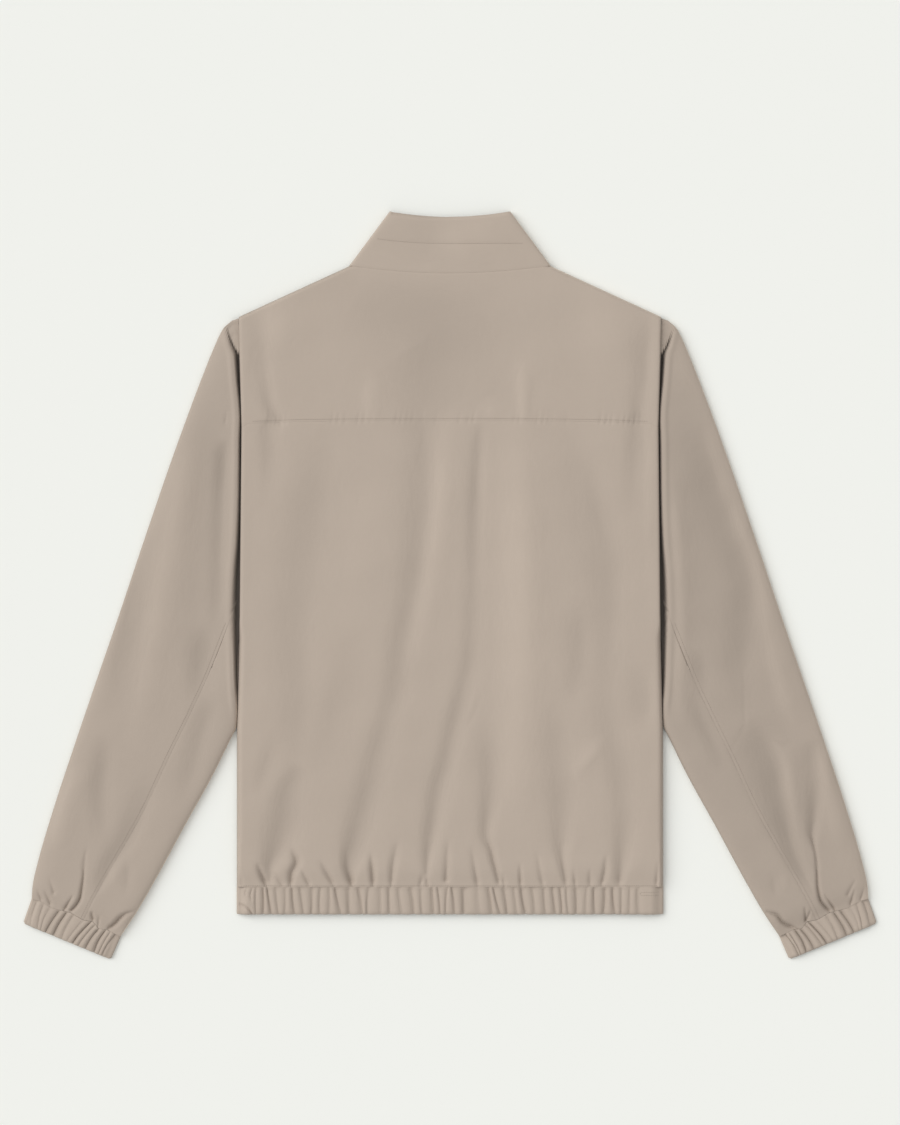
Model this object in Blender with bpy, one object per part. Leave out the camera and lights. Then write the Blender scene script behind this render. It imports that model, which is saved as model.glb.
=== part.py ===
"""Bomber jacket laid flat on its front, with the back facing up.

Lengths are in millimetres until a mesh is made. +X is the wearer's right, +Y points to the
collar and +Z comes out of the back. The origin lies under the middle of the jacket. Every cut
piece is a grid of points on the middle of its cloth, which then gets its wall.
"""
import math

import bpy
import numpy as np
from mathutils import Matrix, Vector

MM = 0.001

# Walls, and the gap that is left at every seam.
CLOTH_WALL = 1.0
HEM_WALL = 1.2
CUFF_WALL = 1.2
COLLAR_WALL = 1.6
SEAM_GAP = 0.3

# Heights of the middle of the cloth above the surface that the jacket lies on.
GROUND_LEVEL = CLOTH_WALL / 2
BACK_LEVEL = 4.3
SLEEVE_LEVEL = 3.2
TUCK_LEVEL = 2.2
HEM_LEVEL = 4.5
CUFF_LEVEL = 3.6
COLLAR_LEVEL = 5.5
COLLAR_RISE = 1.45
COLLAR_RISE_REACH = 34.0
ARMHOLE_RIM = 3.6
CLOSED_RIM = CLOTH_WALL + SEAM_GAP + 0.1

# Body.
NECK_HALF_WIDTH = 104.4
NECK_CORNER_Y = 333.4
BACK_NECK_DIP = 7.8
FRONT_NECK_DIP = 41.0
SHOULDER_HALF_WIDTH = 220.2
SHOULDER_Y = 280.2
YOKE_SEAM_Y = 170.6
YOKE_SEAM_DROP = 5.2
UNDERARM_Y = -58.0
HEM_SEAM_Y = -314.1
HEM_BOTTOM_Y = -342.8
NECK_RISE = 2.15
NECK_RISE_REACH = 28.0

# Height, half width of the body there.
BODY_HALF_WIDTHS = (
    (HEM_BOTTOM_Y, 222.3),
    (-154.0, 222.3),
    (-30.0, 219.0),
    (165.4, 217.1),
    (243.0, 219.4),
    (SHOULDER_Y, SHOULDER_HALF_WIDTH),
)
# Columns of a front between the zip and the side, which the collar shares along the neck.
FRONT_COLUMNS = (7.0, 20.0, 35.0, 50.0, 65.0, 80.0, 92.0, 100.5, NECK_HALF_WIDTH, 145.0, 185.0)
FRONT_SIDE_HEIGHTS = (-230.0, -154.0, -92.0, -30.0, 35.0, 100.0, 165.4, 243.0)
BODY_ROWS = (-290.0, -250.0, -205.0, -160.0, -110.0, -62.0, -36.0, 0.0, 45.0, 90.0, 135.0)

# The rolled edge of the back, from where the roll starts to the rim. Closed means that the
# edge comes down to the cloth below; open means a seam edge that stays up.
# Inset closed, inset open, share of the drop closed, share of the drop open.
EDGE_ROLL = (
    (6.0, 12.0, 0.00, 0.00),
    (2.6, 7.0, 0.12, 0.10),
    (1.0, 3.5, 0.42, 0.35),
    (0.5, 1.5, 0.75, 0.70),
    (0.5, 0.20, 1.00, 1.00),
)

# Soft valleys that run down the back: depth, half width, then height and place across.
BACK_VALLEYS = (
    (1.0, 17.0, ((159, -24), (-29, -52), (-119, -66), (-210, -94), (-290, -106))),
    (1.1, 15.0, ((159, 29), (55, 28), (-57, 18), (-140, 3), (-210, -18), (-290, -25))),
    (0.8, 14.0, ((-100, 37), (-148, 39), (-224, 42), (-290, 45))),
    (0.8, 18.0, ((159, 107), (55, 122), (-50, 133), (-140, 136), (-224, 115), (-290, 102))),
    (0.9, 16.0, ((68, 198), (-15, 185), (-85, 160), (-161, 160), (-224, 167), (-290, 175))),
    (1.0, 18.0, ((159, -91), (55, -115), (-85, -143), (-154, -164), (-224, -184), (-290, -190))),
)

# Hem and cuff bands: gathers on elastic.
HEM_PLEATS = 46
HEM_PLEAT_DEPTH = 0.45
CUFF_PLEATS = 15
CUFF_PLEAT_DEPTH = 0.45

# Sleeve head: outer edge x, outer edge y, height where the row meets the armhole, level.
SLEEVE_HEAD_ROWS = (
    (227.2, 275.7, 278.2, 1.85),
    (235.2, 268.2, 270.5, 2.50),
    (241.5, 257.5, 258.0, 3.00),
    (246.5, 247.0, 243.0, SLEEVE_LEVEL),
    (258.8, 216.0, 206.0, SLEEVE_LEVEL),
    (274.0, 176.0, 165.4, SLEEVE_LEVEL),
    (294.0, 120.5, 102.0, SLEEVE_LEVEL),
    (311.9, 68.4, 50.0, SLEEVE_LEVEL),
    (325.0, 30.0, 12.0, SLEEVE_LEVEL),
)
# Sleeve below the head: outer edge x and y, back seam x and y, underarm fold x and y.
SLEEVE_ARM_ROWS = (
    (345.0, -30.0, 231.0, -40.0, 223.5, -66.0),
    (367.0, -94.0, 256.3, -102.6, 222.8, -112.0),
    (382.0, -138.0, 272.4, -137.2, 224.0, -152.0),
    (393.4, -171.7, 290.0, -172.7, 245.0, -192.0),
    (415.0, -236.0, 314.1, -222.8, 274.7, -246.6),
    (428.0, -281.0, 349.3, -287.5, 307.5, -306.5),
    (436.2, -326.7, 382.7, -349.5, 344.2, -366.0),
)
HEAD_TUCK = 5.0
TUCK_RISE_REACH = 16.0

# Cuff: the seam and the open edge, each from the outer to the inner corner.
CUFF_SEAM = ((436.4, -327.0), (344.4, -366.3))
CUFF_OPEN_EDGE = ((445.6, -352.4), (354.6, -390.1))

# Collar: a stand collar that is one band from zip to zip.
COLLAR_TOP_HALF_WIDTH = 62.6
COLLAR_TOP_Y = 389.8
COLLAR_BACK_DIP = 5.6
COLLAR_FRONT_DIP = 39.0

# Zip.
FRONT_EDGE_X = 7.0
TAPE_HALF_WALL = 0.3
TAPE_OUTER_X = 13.0
CHAIN_OUTER_X = 2.9
# Height, middle of the chain above the surface, inner edge x, half thickness of the chain.
ZIP_ROWS = (
    (-340.5, 1.85, 0.15, 0.9),
    (-318.0, 1.85, 0.15, 0.9),
    (-300.0, 1.60, 0.15, 0.9),
    (-150.0, 1.60, 0.15, 0.9),
    (0.0, 1.60, 0.15, 0.9),
    (150.0, 1.60, 0.15, 0.9),
    (262.0, 1.60, 0.15, 0.9),
    (284.0, 2.20, 0.15, 0.9),
    (297.0, 3.05, 0.15, 0.9),
    (310.0, 3.95, 0.15, 0.9),
    (338.0, 3.95, 0.15, 0.9),
    (339.5, 3.95, 1.60, 0.4),
    (349.0, 3.95, 1.60, 0.4),
)
SLIDER_LEVEL = 3.95
SLIDER_BOTTOM_Y = 333.5
SLIDER_TOP_Y = 344.0
SLIDER_HALF_WIDTH = 4.2
PLATE_WALL = 0.7
PLATE_OFFSET = 1.2
HINGE_Y = 338.3
HINGE_Z = 1.35
TAB_WALL = 0.8
TAB_HALF_WIDTH = 2.8
TAB_HOLE_HALF_WIDTH = 1.6
TAB_END_Y = 315.0
BOX_HALF_SIZE = (4.0, 4.5, 1.25)

# How finely each piece is divided: rows, columns, or places along its flat stretches.
BACK_COLUMNS = 23
YOKE_ROWS = 5
COLLAR_ROWS = 5
TURN_STEPS = 5
SLEEVE_SHARES = (0.0, 0.07, 0.13, 0.21, 0.33, 0.5, 0.75, 1.0)
UNDERSLEEVE_SHARES = (0.0, 0.25, 0.5, 0.75, 1.0)
UNDER_SHARES = (0.0, 0.5, 1.0)
CUFF_SHARES = tuple(np.linspace(0.0, 1.0, 16))
HEM_SHARES = tuple(np.linspace(0.0, 1.0, 47))
COLLAR_SHARES = tuple(np.linspace(0.0, 1.0, 9))
NECK_SHARES = tuple((100.5 - x) / 93.5 for x in (100.5, 92.0, 80.0, 65.0, 50.0, 35.0, 20.0, 7.0))

CLOTH_COLOR = (0.445, 0.372, 0.308)
TRIM_COLOR = (0.400, 0.335, 0.278)
METAL_COLOR = (0.46, 0.44, 0.42)


def between(low, high, share):
    """The value at a share of the way from low to high."""
    return low + (high - low) * share


def soft_step(value):
    """0 below 0, 1 above 1, and a smooth ramp between."""
    clipped = min(max(value, 0.0), 1.0)
    return clipped * clipped * (3.0 - 2.0 * clipped)


def read_table(table, place, column=1):
    """Value of a column at a place along the table's first column, in straight steps."""
    keys = [row[0] for row in table]
    values = [row[column] for row in table]
    if keys[0] > keys[-1]:
        keys, values = keys[::-1], values[::-1]
    return float(np.interp(place, keys, values))


def body_half_width(y):
    return read_table(BODY_HALF_WIDTHS, y)


def back_neck_y(x):
    share = min(abs(x) / NECK_HALF_WIDTH, 1.0)
    return NECK_CORNER_Y - BACK_NECK_DIP * (1.0 - share ** 2)


def front_neck_y(x):
    share = min(abs(x) / NECK_HALF_WIDTH, 1.0)
    return NECK_CORNER_Y - FRONT_NECK_DIP * (1.0 - share ** 2.4)


def shoulder_y(x):
    run = (abs(x) - NECK_HALF_WIDTH) / (SHOULDER_HALF_WIDTH - NECK_HALF_WIDTH)
    return between(NECK_CORNER_Y, SHOULDER_Y, run)


def yoke_seam_y(x):
    """The yoke seam is level and turns down a little beside each armhole."""
    return YOKE_SEAM_Y - YOKE_SEAM_DROP * soft_step((abs(x) - 190.0) / 27.0)


def side_closed(y):
    """1 where the body's side is sewn shut, 0 along the armhole."""
    return soft_step((-36.0 - y) / (-36.0 - UNDERARM_Y))


def back_height(x, y):
    """Height of the middle of the back's cloth, before its edges roll down."""
    height = BACK_LEVEL
    for depth, half_width, line in BACK_VALLEYS:
        fade = soft_step((line[0][0] + 10 - y) / 60.0)
        offset = x - read_table(line, y)
        height -= depth * fade * math.exp(-(offset / half_width) ** 2)
    height += 0.45 * soft_step((YOKE_SEAM_Y - y) / 80.0)
    inner = soft_step((body_half_width(y) - 8.0 - abs(x)) / 30.0)
    height = between(BACK_LEVEL, height, inner)
    from_neck = math.hypot(max(abs(x) - 95.0, 0.0), back_neck_y(x) - y)
    return height + NECK_RISE * math.exp(-(from_neck / NECK_RISE_REACH) ** 2)


def edge_columns(y, inner_count):
    """Across the back at one height: x, share of the drop, with rolled edges both sides."""
    closed = side_closed(y)
    half = body_half_width(y)
    edge = [(half - between(row[1], row[0], closed), between(row[3], row[2], closed))
            for row in EDGE_ROLL]
    reach = edge[0][0]
    inner = [(reach * f, 0.0) for f in np.linspace(-1.0, 1.0, inner_count)[1:-1]]
    return [(-x, share) for x, share in reversed(edge)] + inner + edge


def back_row(heights, inner_count):
    """One row of the back; heights gives y for an x."""
    guess = heights(SHOULDER_HALF_WIDTH)
    row = []
    for x, share in edge_columns(guess, inner_count):
        y = heights(x)
        level = back_height(x, y)
        rim = between(ARMHOLE_RIM, CLOSED_RIM, side_closed(y))
        row.append((x, y, between(level, rim, share)))
    return row


def body_rows():
    low = HEM_SEAM_Y + SEAM_GAP / 2
    rows = [back_row(lambda x: low, BACK_COLUMNS)]
    for place in BODY_ROWS:
        rows.append(back_row(lambda x, y=place: y, BACK_COLUMNS))
    rows.append(back_row(lambda x: yoke_seam_y(x) - SEAM_GAP / 2, BACK_COLUMNS))
    return rows


def yoke_top_y(x):
    return back_neck_y(x) if abs(x) < NECK_HALF_WIDTH else shoulder_y(x)


def yoke_rows():
    """From the yoke seam to the neck seam and the shoulders, which roll down to the front."""
    margin = EDGE_ROLL[0][1]
    rows = []
    for share in np.linspace(0.0, 1.0, YOKE_ROWS):
        def heights(x, share=share):
            return between(yoke_seam_y(x) + SEAM_GAP / 2, yoke_top_y(x) - margin, share)
        rows.append(back_row(heights, BACK_COLUMNS))
    slope = math.cos(math.atan2(NECK_CORNER_Y - SHOULDER_Y, SHOULDER_HALF_WIDTH - NECK_HALF_WIDTH))
    for closed_inset, open_inset, closed_share, open_share in EDGE_ROLL[1:]:
        row = []
        for x, y, z in rows[YOKE_ROWS - 1]:
            shoulder = soft_step((abs(x) - NECK_HALF_WIDTH + 4.0) / 8.0)
            inset = between(open_inset, closed_inset / slope, shoulder)
            y = yoke_top_y(x) - inset
            risen = z - back_height(x, yoke_top_y(x) - margin) + back_height(x, y)
            row.append((x, y, between(risen, CLOSED_RIM, closed_share * shoulder)))
        rows.append(row)
    return rows


def front_rows(side):
    """A front lies flat. Columns run from the zip to the side, rows from the hem up."""
    columns = FRONT_COLUMNS + (SHOULDER_HALF_WIDTH - SEAM_GAP / 2,)
    low = HEM_SEAM_Y + SEAM_GAP / 2
    rows = []
    for height in (low,) + FRONT_SIDE_HEIGHTS + (SHOULDER_Y,):
        share = (height - low) / (SHOULDER_Y - low)
        row = []
        for x in columns:
            top = front_neck_y(x) - SEAM_GAP / 2 if x < NECK_HALF_WIDTH else shoulder_y(x)
            y = between(low, top, share)
            edge = body_half_width(y) - SEAM_GAP / 2
            row.append((side * min(x, edge), y, GROUND_LEVEL))
        rows.append(row)
    return rows


def wrap(start, edge, end, upper, lower, wall, out_shares, back_shares):
    """Across a flattened piece: over the upper layer, round the fold at the edge, and back.

    The shares say where the points lie on the flat stretches, from 0 at their start to 1.
    """
    start, edge, end = (np.array(point, dtype=float) for point in (start, edge, end))
    outward = (edge - start) / np.linalg.norm(edge - start)
    guess = (upper(*edge) - lower(*edge)) / 2
    centre = edge - outward * (guess + wall / 2)
    top, bottom = upper(*centre), lower(*centre)
    radius = (top - bottom) / 2
    points = []
    for share in out_shares:
        x, y = between(start, centre, share)
        points.append((x, y, upper(x, y)))
    for turn in range(1, TURN_STEPS):
        angle = math.pi * turn / TURN_STEPS
        x, y = centre + outward * radius * math.sin(angle)
        points.append((x, y, (top + bottom) / 2 + radius * math.cos(angle)))
    for share in back_shares:
        x, y = between(centre, end, share)
        points.append((x, y, lower(x, y)))
    return points


def head_tuck(y):
    """How far the sleeve's upper edge lies in under the edge of the back."""
    low = soft_step((y + 36.0) / 24.0)
    high = soft_step((272.0 - y) / 18.0)
    return between(-0.45, HEAD_TUCK, low * high)


def sleeve_height(level):
    """Height of the upper layer of a sleeve, which dips where it goes under the back."""
    def height(x, y):
        outside = abs(x) - body_half_width(y) - 0.5
        if y < UNDERARM_Y:
            return level
        rise = soft_step(outside / TUCK_RISE_REACH)
        return between(min(TUCK_LEVEL, level), level, rise)
    return height


def ground(x, y):
    return GROUND_LEVEL


def sleeve_top_rows():
    """The upper sleeve runs from the back seam over the outer fold to the front seam."""
    rows = []
    for outer_x, outer_y, hole_y, level in SLEEVE_HEAD_ROWS:
        half = body_half_width(hole_y)
        start = (half - head_tuck(hole_y), hole_y)
        end = (half + SEAM_GAP / 2, hole_y)
        rows.append(wrap(start, (outer_x, outer_y), end, sleeve_height(level), ground,
                         CLOTH_WALL, SLEEVE_SHARES, UNDER_SHARES))
    for outer_x, outer_y, seam_x, seam_y, inner_x, inner_y in SLEEVE_ARM_ROWS:
        start = (seam_x + SEAM_GAP / 2, seam_y)
        rows.append(wrap(start, (outer_x, outer_y), start, sleeve_height(SLEEVE_LEVEL), ground,
                         CLOTH_WALL, SLEEVE_SHARES, UNDER_SHARES))
    return rows


def sleeve_under_rows():
    """The under sleeve runs from the back seam over the underarm fold to the front seam."""
    apex_y = SLEEVE_HEAD_ROWS[-1][2] - 2.0
    rows = []
    row = []
    for share in UNDERSLEEVE_SHARES:
        y = between(apex_y, UNDERARM_Y + 2.0, share)
        row.append((body_half_width(y) - head_tuck(y), y, TUCK_LEVEL))
    fold_x = body_half_width(UNDERARM_Y) + 0.45
    middle = (TUCK_LEVEL + GROUND_LEVEL) / 2
    radius = (TUCK_LEVEL - GROUND_LEVEL) / 2
    for turn in range(1, TURN_STEPS):
        angle = math.pi * turn / TURN_STEPS
        y = UNDERARM_Y + 2.0 - radius * math.sin(angle)
        row.append((fold_x, y, middle + radius * math.cos(angle)))
    for share in UNDER_SHARES:
        y = between(UNDERARM_Y + 2.0, apex_y, share)
        row.append((body_half_width(y) + SEAM_GAP, y, GROUND_LEVEL))
    rows.append(row)
    for outer_x, outer_y, seam_x, seam_y, inner_x, inner_y in SLEEVE_ARM_ROWS:
        start = (seam_x - SEAM_GAP / 2, seam_y)
        edge_x = max(inner_x, body_half_width(inner_y) + 0.45)
        rows.append(wrap(start, (edge_x, inner_y), start, sleeve_height(SLEEVE_LEVEL), ground,
                         CLOTH_WALL, UNDERSLEEVE_SHARES, UNDER_SHARES))
    return rows


def pleat(place, count):
    """Gathers on elastic: a wave whose pitch and depth wander along the band."""
    phase = place * count + 0.32 * math.sin(place * 19.0) + 0.18 * math.sin(place * 47.0)
    depth = 0.75 + 0.25 * math.sin(place * 31.0 + 1.0)
    return depth * math.cos(2 * math.pi * phase)


def cuff_rows():
    """A closed band: upper layer gathered, lower layer flat, a fold at each end."""
    rows = []
    for share, inset in ((0.0, 0.0), (0.93, 0.2), (1.0, 1.6)):
        outer = between(np.array(CUFF_SEAM[0]), np.array(CUFF_OPEN_EDGE[0]), share)
        inner = between(np.array(CUFF_SEAM[1]), np.array(CUFF_OPEN_EDGE[1]), share)
        along = (inner - outer) / np.linalg.norm(inner - outer)
        outer, inner = outer + along * inset, inner - along * inset
        width = np.linalg.norm(inner - outer)

        def upper(x, y, outer=outer, along=along, width=width):
            place = float(np.dot(np.array((x, y)) - outer, along)) / width
            fade = soft_step(place / 0.08) * soft_step((1.0 - place) / 0.08)
            return CUFF_LEVEL + CUFF_PLEAT_DEPTH * fade * pleat(place, CUFF_PLEATS)

        def lower(x, y):
            return CUFF_WALL / 2

        middle = (outer + inner) / 2
        one = wrap(middle, outer, middle, upper, lower, CUFF_WALL, CUFF_SHARES, UNDER_SHARES)
        other = wrap(middle, inner, middle, upper, lower, CUFF_WALL, CUFF_SHARES, UNDER_SHARES)
        rows.append(one[:-1] + other[:0:-1])
    return rows


def hem_rows():
    """The hem band runs from zip to zip: front, side fold, back, side fold, front."""
    rows = []
    half = BODY_HALF_WIDTHS[0][1]
    top_y = HEM_SEAM_Y - SEAM_GAP / 2

    def upper(x, y):
        fade = soft_step((half - 6.0 - abs(x)) / 8.0)
        return HEM_LEVEL + HEM_PLEAT_DEPTH * fade * pleat(0.5 + x / (2 * half), HEM_PLEATS)

    def lower(x, y):
        return HEM_WALL / 2

    for y in (top_y, HEM_BOTTOM_Y):
        halves = [wrap((0.0, y), (side * half, y), (side * FRONT_EDGE_X, y), upper, lower,
                       HEM_WALL, HEM_SHARES, UNDER_SHARES) for side in (-1, 1)]
        rows.append(halves[0][::-1] + halves[1][1:])
    return rows


def zip_level(y):
    return read_table(ZIP_ROWS, y, 1)


def collar_rows():
    """The collar runs from zip to zip, its back part above and its fronts below."""
    def upper(x, y):
        return COLLAR_LEVEL + COLLAR_RISE * math.exp(-(x / COLLAR_RISE_REACH) ** 2)

    def lower(x, y):
        rise = max(zip_level(y) - 2.2, 0.0)
        return COLLAR_WALL / 2 + rise * soft_step((30.0 - abs(x)) / 20.0)

    rows = []
    for share in np.linspace(0.0, 1.0, COLLAR_ROWS):
        half = between(NECK_HALF_WIDTH, COLLAR_TOP_HALF_WIDTH, share)
        row = []
        for side in (-1, 1):
            points = wrap((0.0, 0.0), (side * half, 0.0), (side * FRONT_EDGE_X, 0.0), upper,
                          lower, COLLAR_WALL, COLLAR_SHARES, NECK_SHARES)
            turned = []
            for index, (x, _, _) in enumerate(points):
                across = x / half
                base_x = across * NECK_HALF_WIDTH
                rim = COLLAR_TOP_Y - (1.0 - across ** 2) * COLLAR_BACK_DIP
                back_y = between(back_neck_y(base_x) + SEAM_GAP / 2, rim, share)
                rim = COLLAR_TOP_Y - (1.0 - across ** 2) * COLLAR_FRONT_DIP
                front_y = between(front_neck_y(base_x) + SEAM_GAP / 2, rim, share)
                turn = (index - len(COLLAR_SHARES) + 1) / TURN_STEPS
                y = between(back_y, front_y, soft_step(turn))
                z = lower(x, y) if turn >= 1.0 else points[index][2]
                turned.append((x, y, z))
            row.append(turned)
        rows.append(row[0][::-1] + row[1][1:])
    return rows


def material(name, color, roughness, metallic):
    made = bpy.data.materials.new(name)
    made.use_nodes = True
    shader = made.node_tree.nodes["Principled BSDF"]
    shader.inputs["Base Color"].default_value = (*color, 1.0)
    shader.inputs["Roughness"].default_value = roughness
    shader.inputs["Metallic"].default_value = metallic
    return made


def add_object(name, points, faces, finish):
    mesh = bpy.data.meshes.new(name)
    mesh.from_pydata([tuple(MM * value for value in point) for point in points], [], faces)
    mesh.materials.append(finish)
    made = bpy.data.objects.new(name, mesh)
    bpy.context.scene.collection.objects.link(made)
    return made


def cloth_piece(name, rows, wall, finish, ring=False, mirror=False):
    """A cut piece from its grid of points, thickened evenly to both sides."""
    across = len(rows[0])
    points = [(-x if mirror else x, y, z) for row in rows for x, y, z in row]
    spans = across if ring else across - 1
    faces = []
    for line in range(len(rows) - 1):
        for column in range(spans):
            following = (column + 1) % across
            faces.append((line * across + column, line * across + following,
                          (line + 1) * across + following, (line + 1) * across + column))
    made = add_object(name, points, faces, finish)
    made.data.shade_smooth()
    made.data.set_sharp_from_angle(angle=math.radians(40))
    solidify = made.modifiers.new("Wall", "SOLIDIFY")
    solidify.thickness = wall * MM
    solidify.offset = 0.0
    return made


def loft(name, rings, finish):
    """A closed solid through rings of points, capped at both ends."""
    count = len(rings[0])
    points = [point for ring in rings for point in ring]
    faces = [tuple(reversed(range(count)))]
    for line in range(len(rings) - 1):
        for corner in range(count):
            following = (corner + 1) % count
            faces.append((line * count + corner, line * count + following,
                          (line + 1) * count + following, (line + 1) * count + corner))
    faces.append(tuple(range((len(rings) - 1) * count, len(rings) * count)))
    return add_object(name, points, faces, finish)


def block(name, low, high, finish):
    """A box between two corners, as a loft of two rings."""
    rings = []
    for y in (low[1], high[1]):
        rings.append([(low[0], y, low[2]), (low[0], y, high[2]),
                      (high[0], y, high[2]), (high[0], y, low[2])])
    return loft(name, rings, finish)


def combine(base, operation, helpers):
    """Joins helpers to the base, or cuts them from it, and hides them."""
    for helper in helpers:
        modifier = base.modifiers.new(helper.name, "BOOLEAN")
        modifier.operation = operation
        modifier.object = helper
        modifier.solver = "EXACT"
        helper.hide_render = True
        helper.display_type = "WIRE"


def zip_tape(name, side, finish):
    """A tape with its half of the chain along the inner edge."""
    rings = []
    for y, level, inner, chain in ZIP_ROWS:
        outline = ((inner, -chain), (CHAIN_OUTER_X, -chain), (CHAIN_OUTER_X, -TAPE_HALF_WALL),
                   (TAPE_OUTER_X, -TAPE_HALF_WALL), (TAPE_OUTER_X, TAPE_HALF_WALL),
                   (CHAIN_OUTER_X, TAPE_HALF_WALL), (CHAIN_OUTER_X, chain), (inner, chain))
        ring = [(side * x, y, level + z) for x, z in outline]
        rings.append(ring[::-1] if side > 0 else ring)
    return loft(name, rings, finish)


def zip_slider(finish):
    """Two plates with side flanges, a post between them and a bridge for the pull tab."""
    half = SLIDER_HALF_WIDTH
    bottom, top = SLIDER_BOTTOM_Y, SLIDER_TOP_Y
    inner_face, outer_face = PLATE_OFFSET, PLATE_OFFSET + PLATE_WALL
    level = SLIDER_LEVEL
    base = block("zip_slider", (-half, bottom, level - outer_face), (half, top, level - inner_face), finish)
    overlap = 0.1
    helpers = [
        block("slider_inner_plate", (-half, bottom, level + inner_face), (half, top, level + outer_face), finish),
        block("slider_post", (-1.0, 341.0, level - inner_face - overlap),
              (1.0, top - 0.2, level + inner_face + overlap), finish),
    ]
    for side in (-1, 1):
        for facing in (-1, 1):
            xs = sorted((side * (half - 0.8), side * (half - 0.02)))
            zs = sorted((level + facing * 0.65, level + facing * (inner_face + overlap)))
            helpers.append(block("slider_flange", (xs[0], bottom + 0.3, zs[0]),
                                 (xs[1], top - 0.3, zs[1]), finish))
    strap_low, strap_high = 0.15, 0.65
    plate_face = level - outer_face
    helpers.append(block("slider_bridge", (-1.0, 334.8, strap_low), (1.0, 343.0, strap_high), finish))
    for foot_low, foot_high in ((334.8, 335.9), (341.6, 343.0)):
        helpers.append(block("slider_bridge_foot", (-0.98, foot_low + 0.02, strap_high - overlap),
                             (0.98, foot_high, plate_face + overlap), finish))
    combine(base, "UNION", helpers)
    return base


def pull_tab(finish):
    """A plate with a rounded end and a hole, hung on its bar inside the slider's bridge."""
    half = TAB_HALF_WIDTH
    top = HINGE_Y + TAB_WALL / 2
    outline = [(-half, top), (-half, TAB_END_Y + half)]
    for step in range(1, 12):
        angle = math.pi + math.pi * step / 12
        outline.append((half * math.cos(angle), TAB_END_Y + half + half * math.sin(angle)))
    outline += [(half, TAB_END_Y + half), (half, top)]
    rings = [[(x, y, HINGE_Z + z) for x, y in outline] for z in (-TAB_WALL / 2, TAB_WALL / 2)]
    tab = loft("zip_pull_tab", rings, finish)
    hole_low = HINGE_Y - 4.1
    hole_high = HINGE_Y - TAB_WALL / 2
    cutter = block("tab_hole", (-TAB_HOLE_HALF_WIDTH, hole_low, 0.0),
                   (TAB_HOLE_HALF_WIDTH, hole_high, 3.0), finish)
    combine(tab, "DIFFERENCE", [cutter])
    hinge = Vector((0.0, HINGE_Y * MM, HINGE_Z * MM))
    tab.data.transform(Matrix.Translation(-hinge))
    tab.location = hinge
    return tab


def bottom_box(finish):
    """The retainer at the lower end of the zip, with a slot that holds the tapes."""
    half_x, half_y, half_z = BOX_HALF_SIZE
    middle_y = HEM_BOTTOM_Y + 5.6
    level = zip_level(middle_y)
    base = block("zip_box", (-half_x, middle_y - half_y, level - half_z),
                 (half_x, middle_y + half_y, level + half_z), finish)
    slot = block("box_slot", (-CHAIN_OUTER_X - 0.2, middle_y - half_y + 0.9, level - 1.0),
                 (CHAIN_OUTER_X + 0.2, middle_y + half_y + 1.0, level + 1.0), finish)
    edge_slot = block("box_edge_slot", (-half_x - 1.0, middle_y - half_y + 0.9, level - 0.5),
                      (half_x + 1.0, middle_y + half_y + 1.0, level + 0.5), finish)
    combine(base, "DIFFERENCE", [slot, edge_slot])
    return base


def build():
    for old in list(bpy.data.objects):
        bpy.data.objects.remove(old, do_unlink=True)
    cloth = material("cloth", CLOTH_COLOR, 0.72, 0.0)
    band = material("band_cloth", CLOTH_COLOR, 0.74, 0.0)
    tape = material("zip_tape", TRIM_COLOR, 0.80, 0.0)
    metal = material("zip_metal", METAL_COLOR, 0.35, 1.0)

    cloth_piece("back_yoke", yoke_rows(), CLOTH_WALL, cloth)
    cloth_piece("back_body", body_rows(), CLOTH_WALL, cloth)
    for label, side in (("left", -1), ("right", 1)):
        mirror = side < 0
        cloth_piece("front_" + label, front_rows(side), CLOTH_WALL, cloth)
        cloth_piece("sleeve_top_" + label, sleeve_top_rows(), CLOTH_WALL, cloth, mirror=mirror)
        cloth_piece("sleeve_under_" + label, sleeve_under_rows(), CLOTH_WALL, cloth, mirror=mirror)
        cloth_piece("cuff_" + label, cuff_rows(), CUFF_WALL, band, ring=True, mirror=mirror)
        zip_tape("zip_tape_" + label, side, tape)
    cloth_piece("hem_band", hem_rows(), HEM_WALL, band)
    cloth_piece("collar", collar_rows(), COLLAR_WALL, cloth)
    zip_slider(metal)
    bottom_box(metal)
    pull_tab(metal)


build()
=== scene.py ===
"""Bomber jacket laid flat on its front: the cloth, its folds, gathers, stitching and zip.

Lengths are in millimetres until a mesh is made. +X is the wearer's right, +Y points to the
collar and +Z comes out of the back.
"""
import math

import bmesh
import bpy
import numpy as np
from bpy.props import FloatProperty, FloatVectorProperty, PointerProperty
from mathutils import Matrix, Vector
from mathutils.bvhtree import BVHTree


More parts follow.
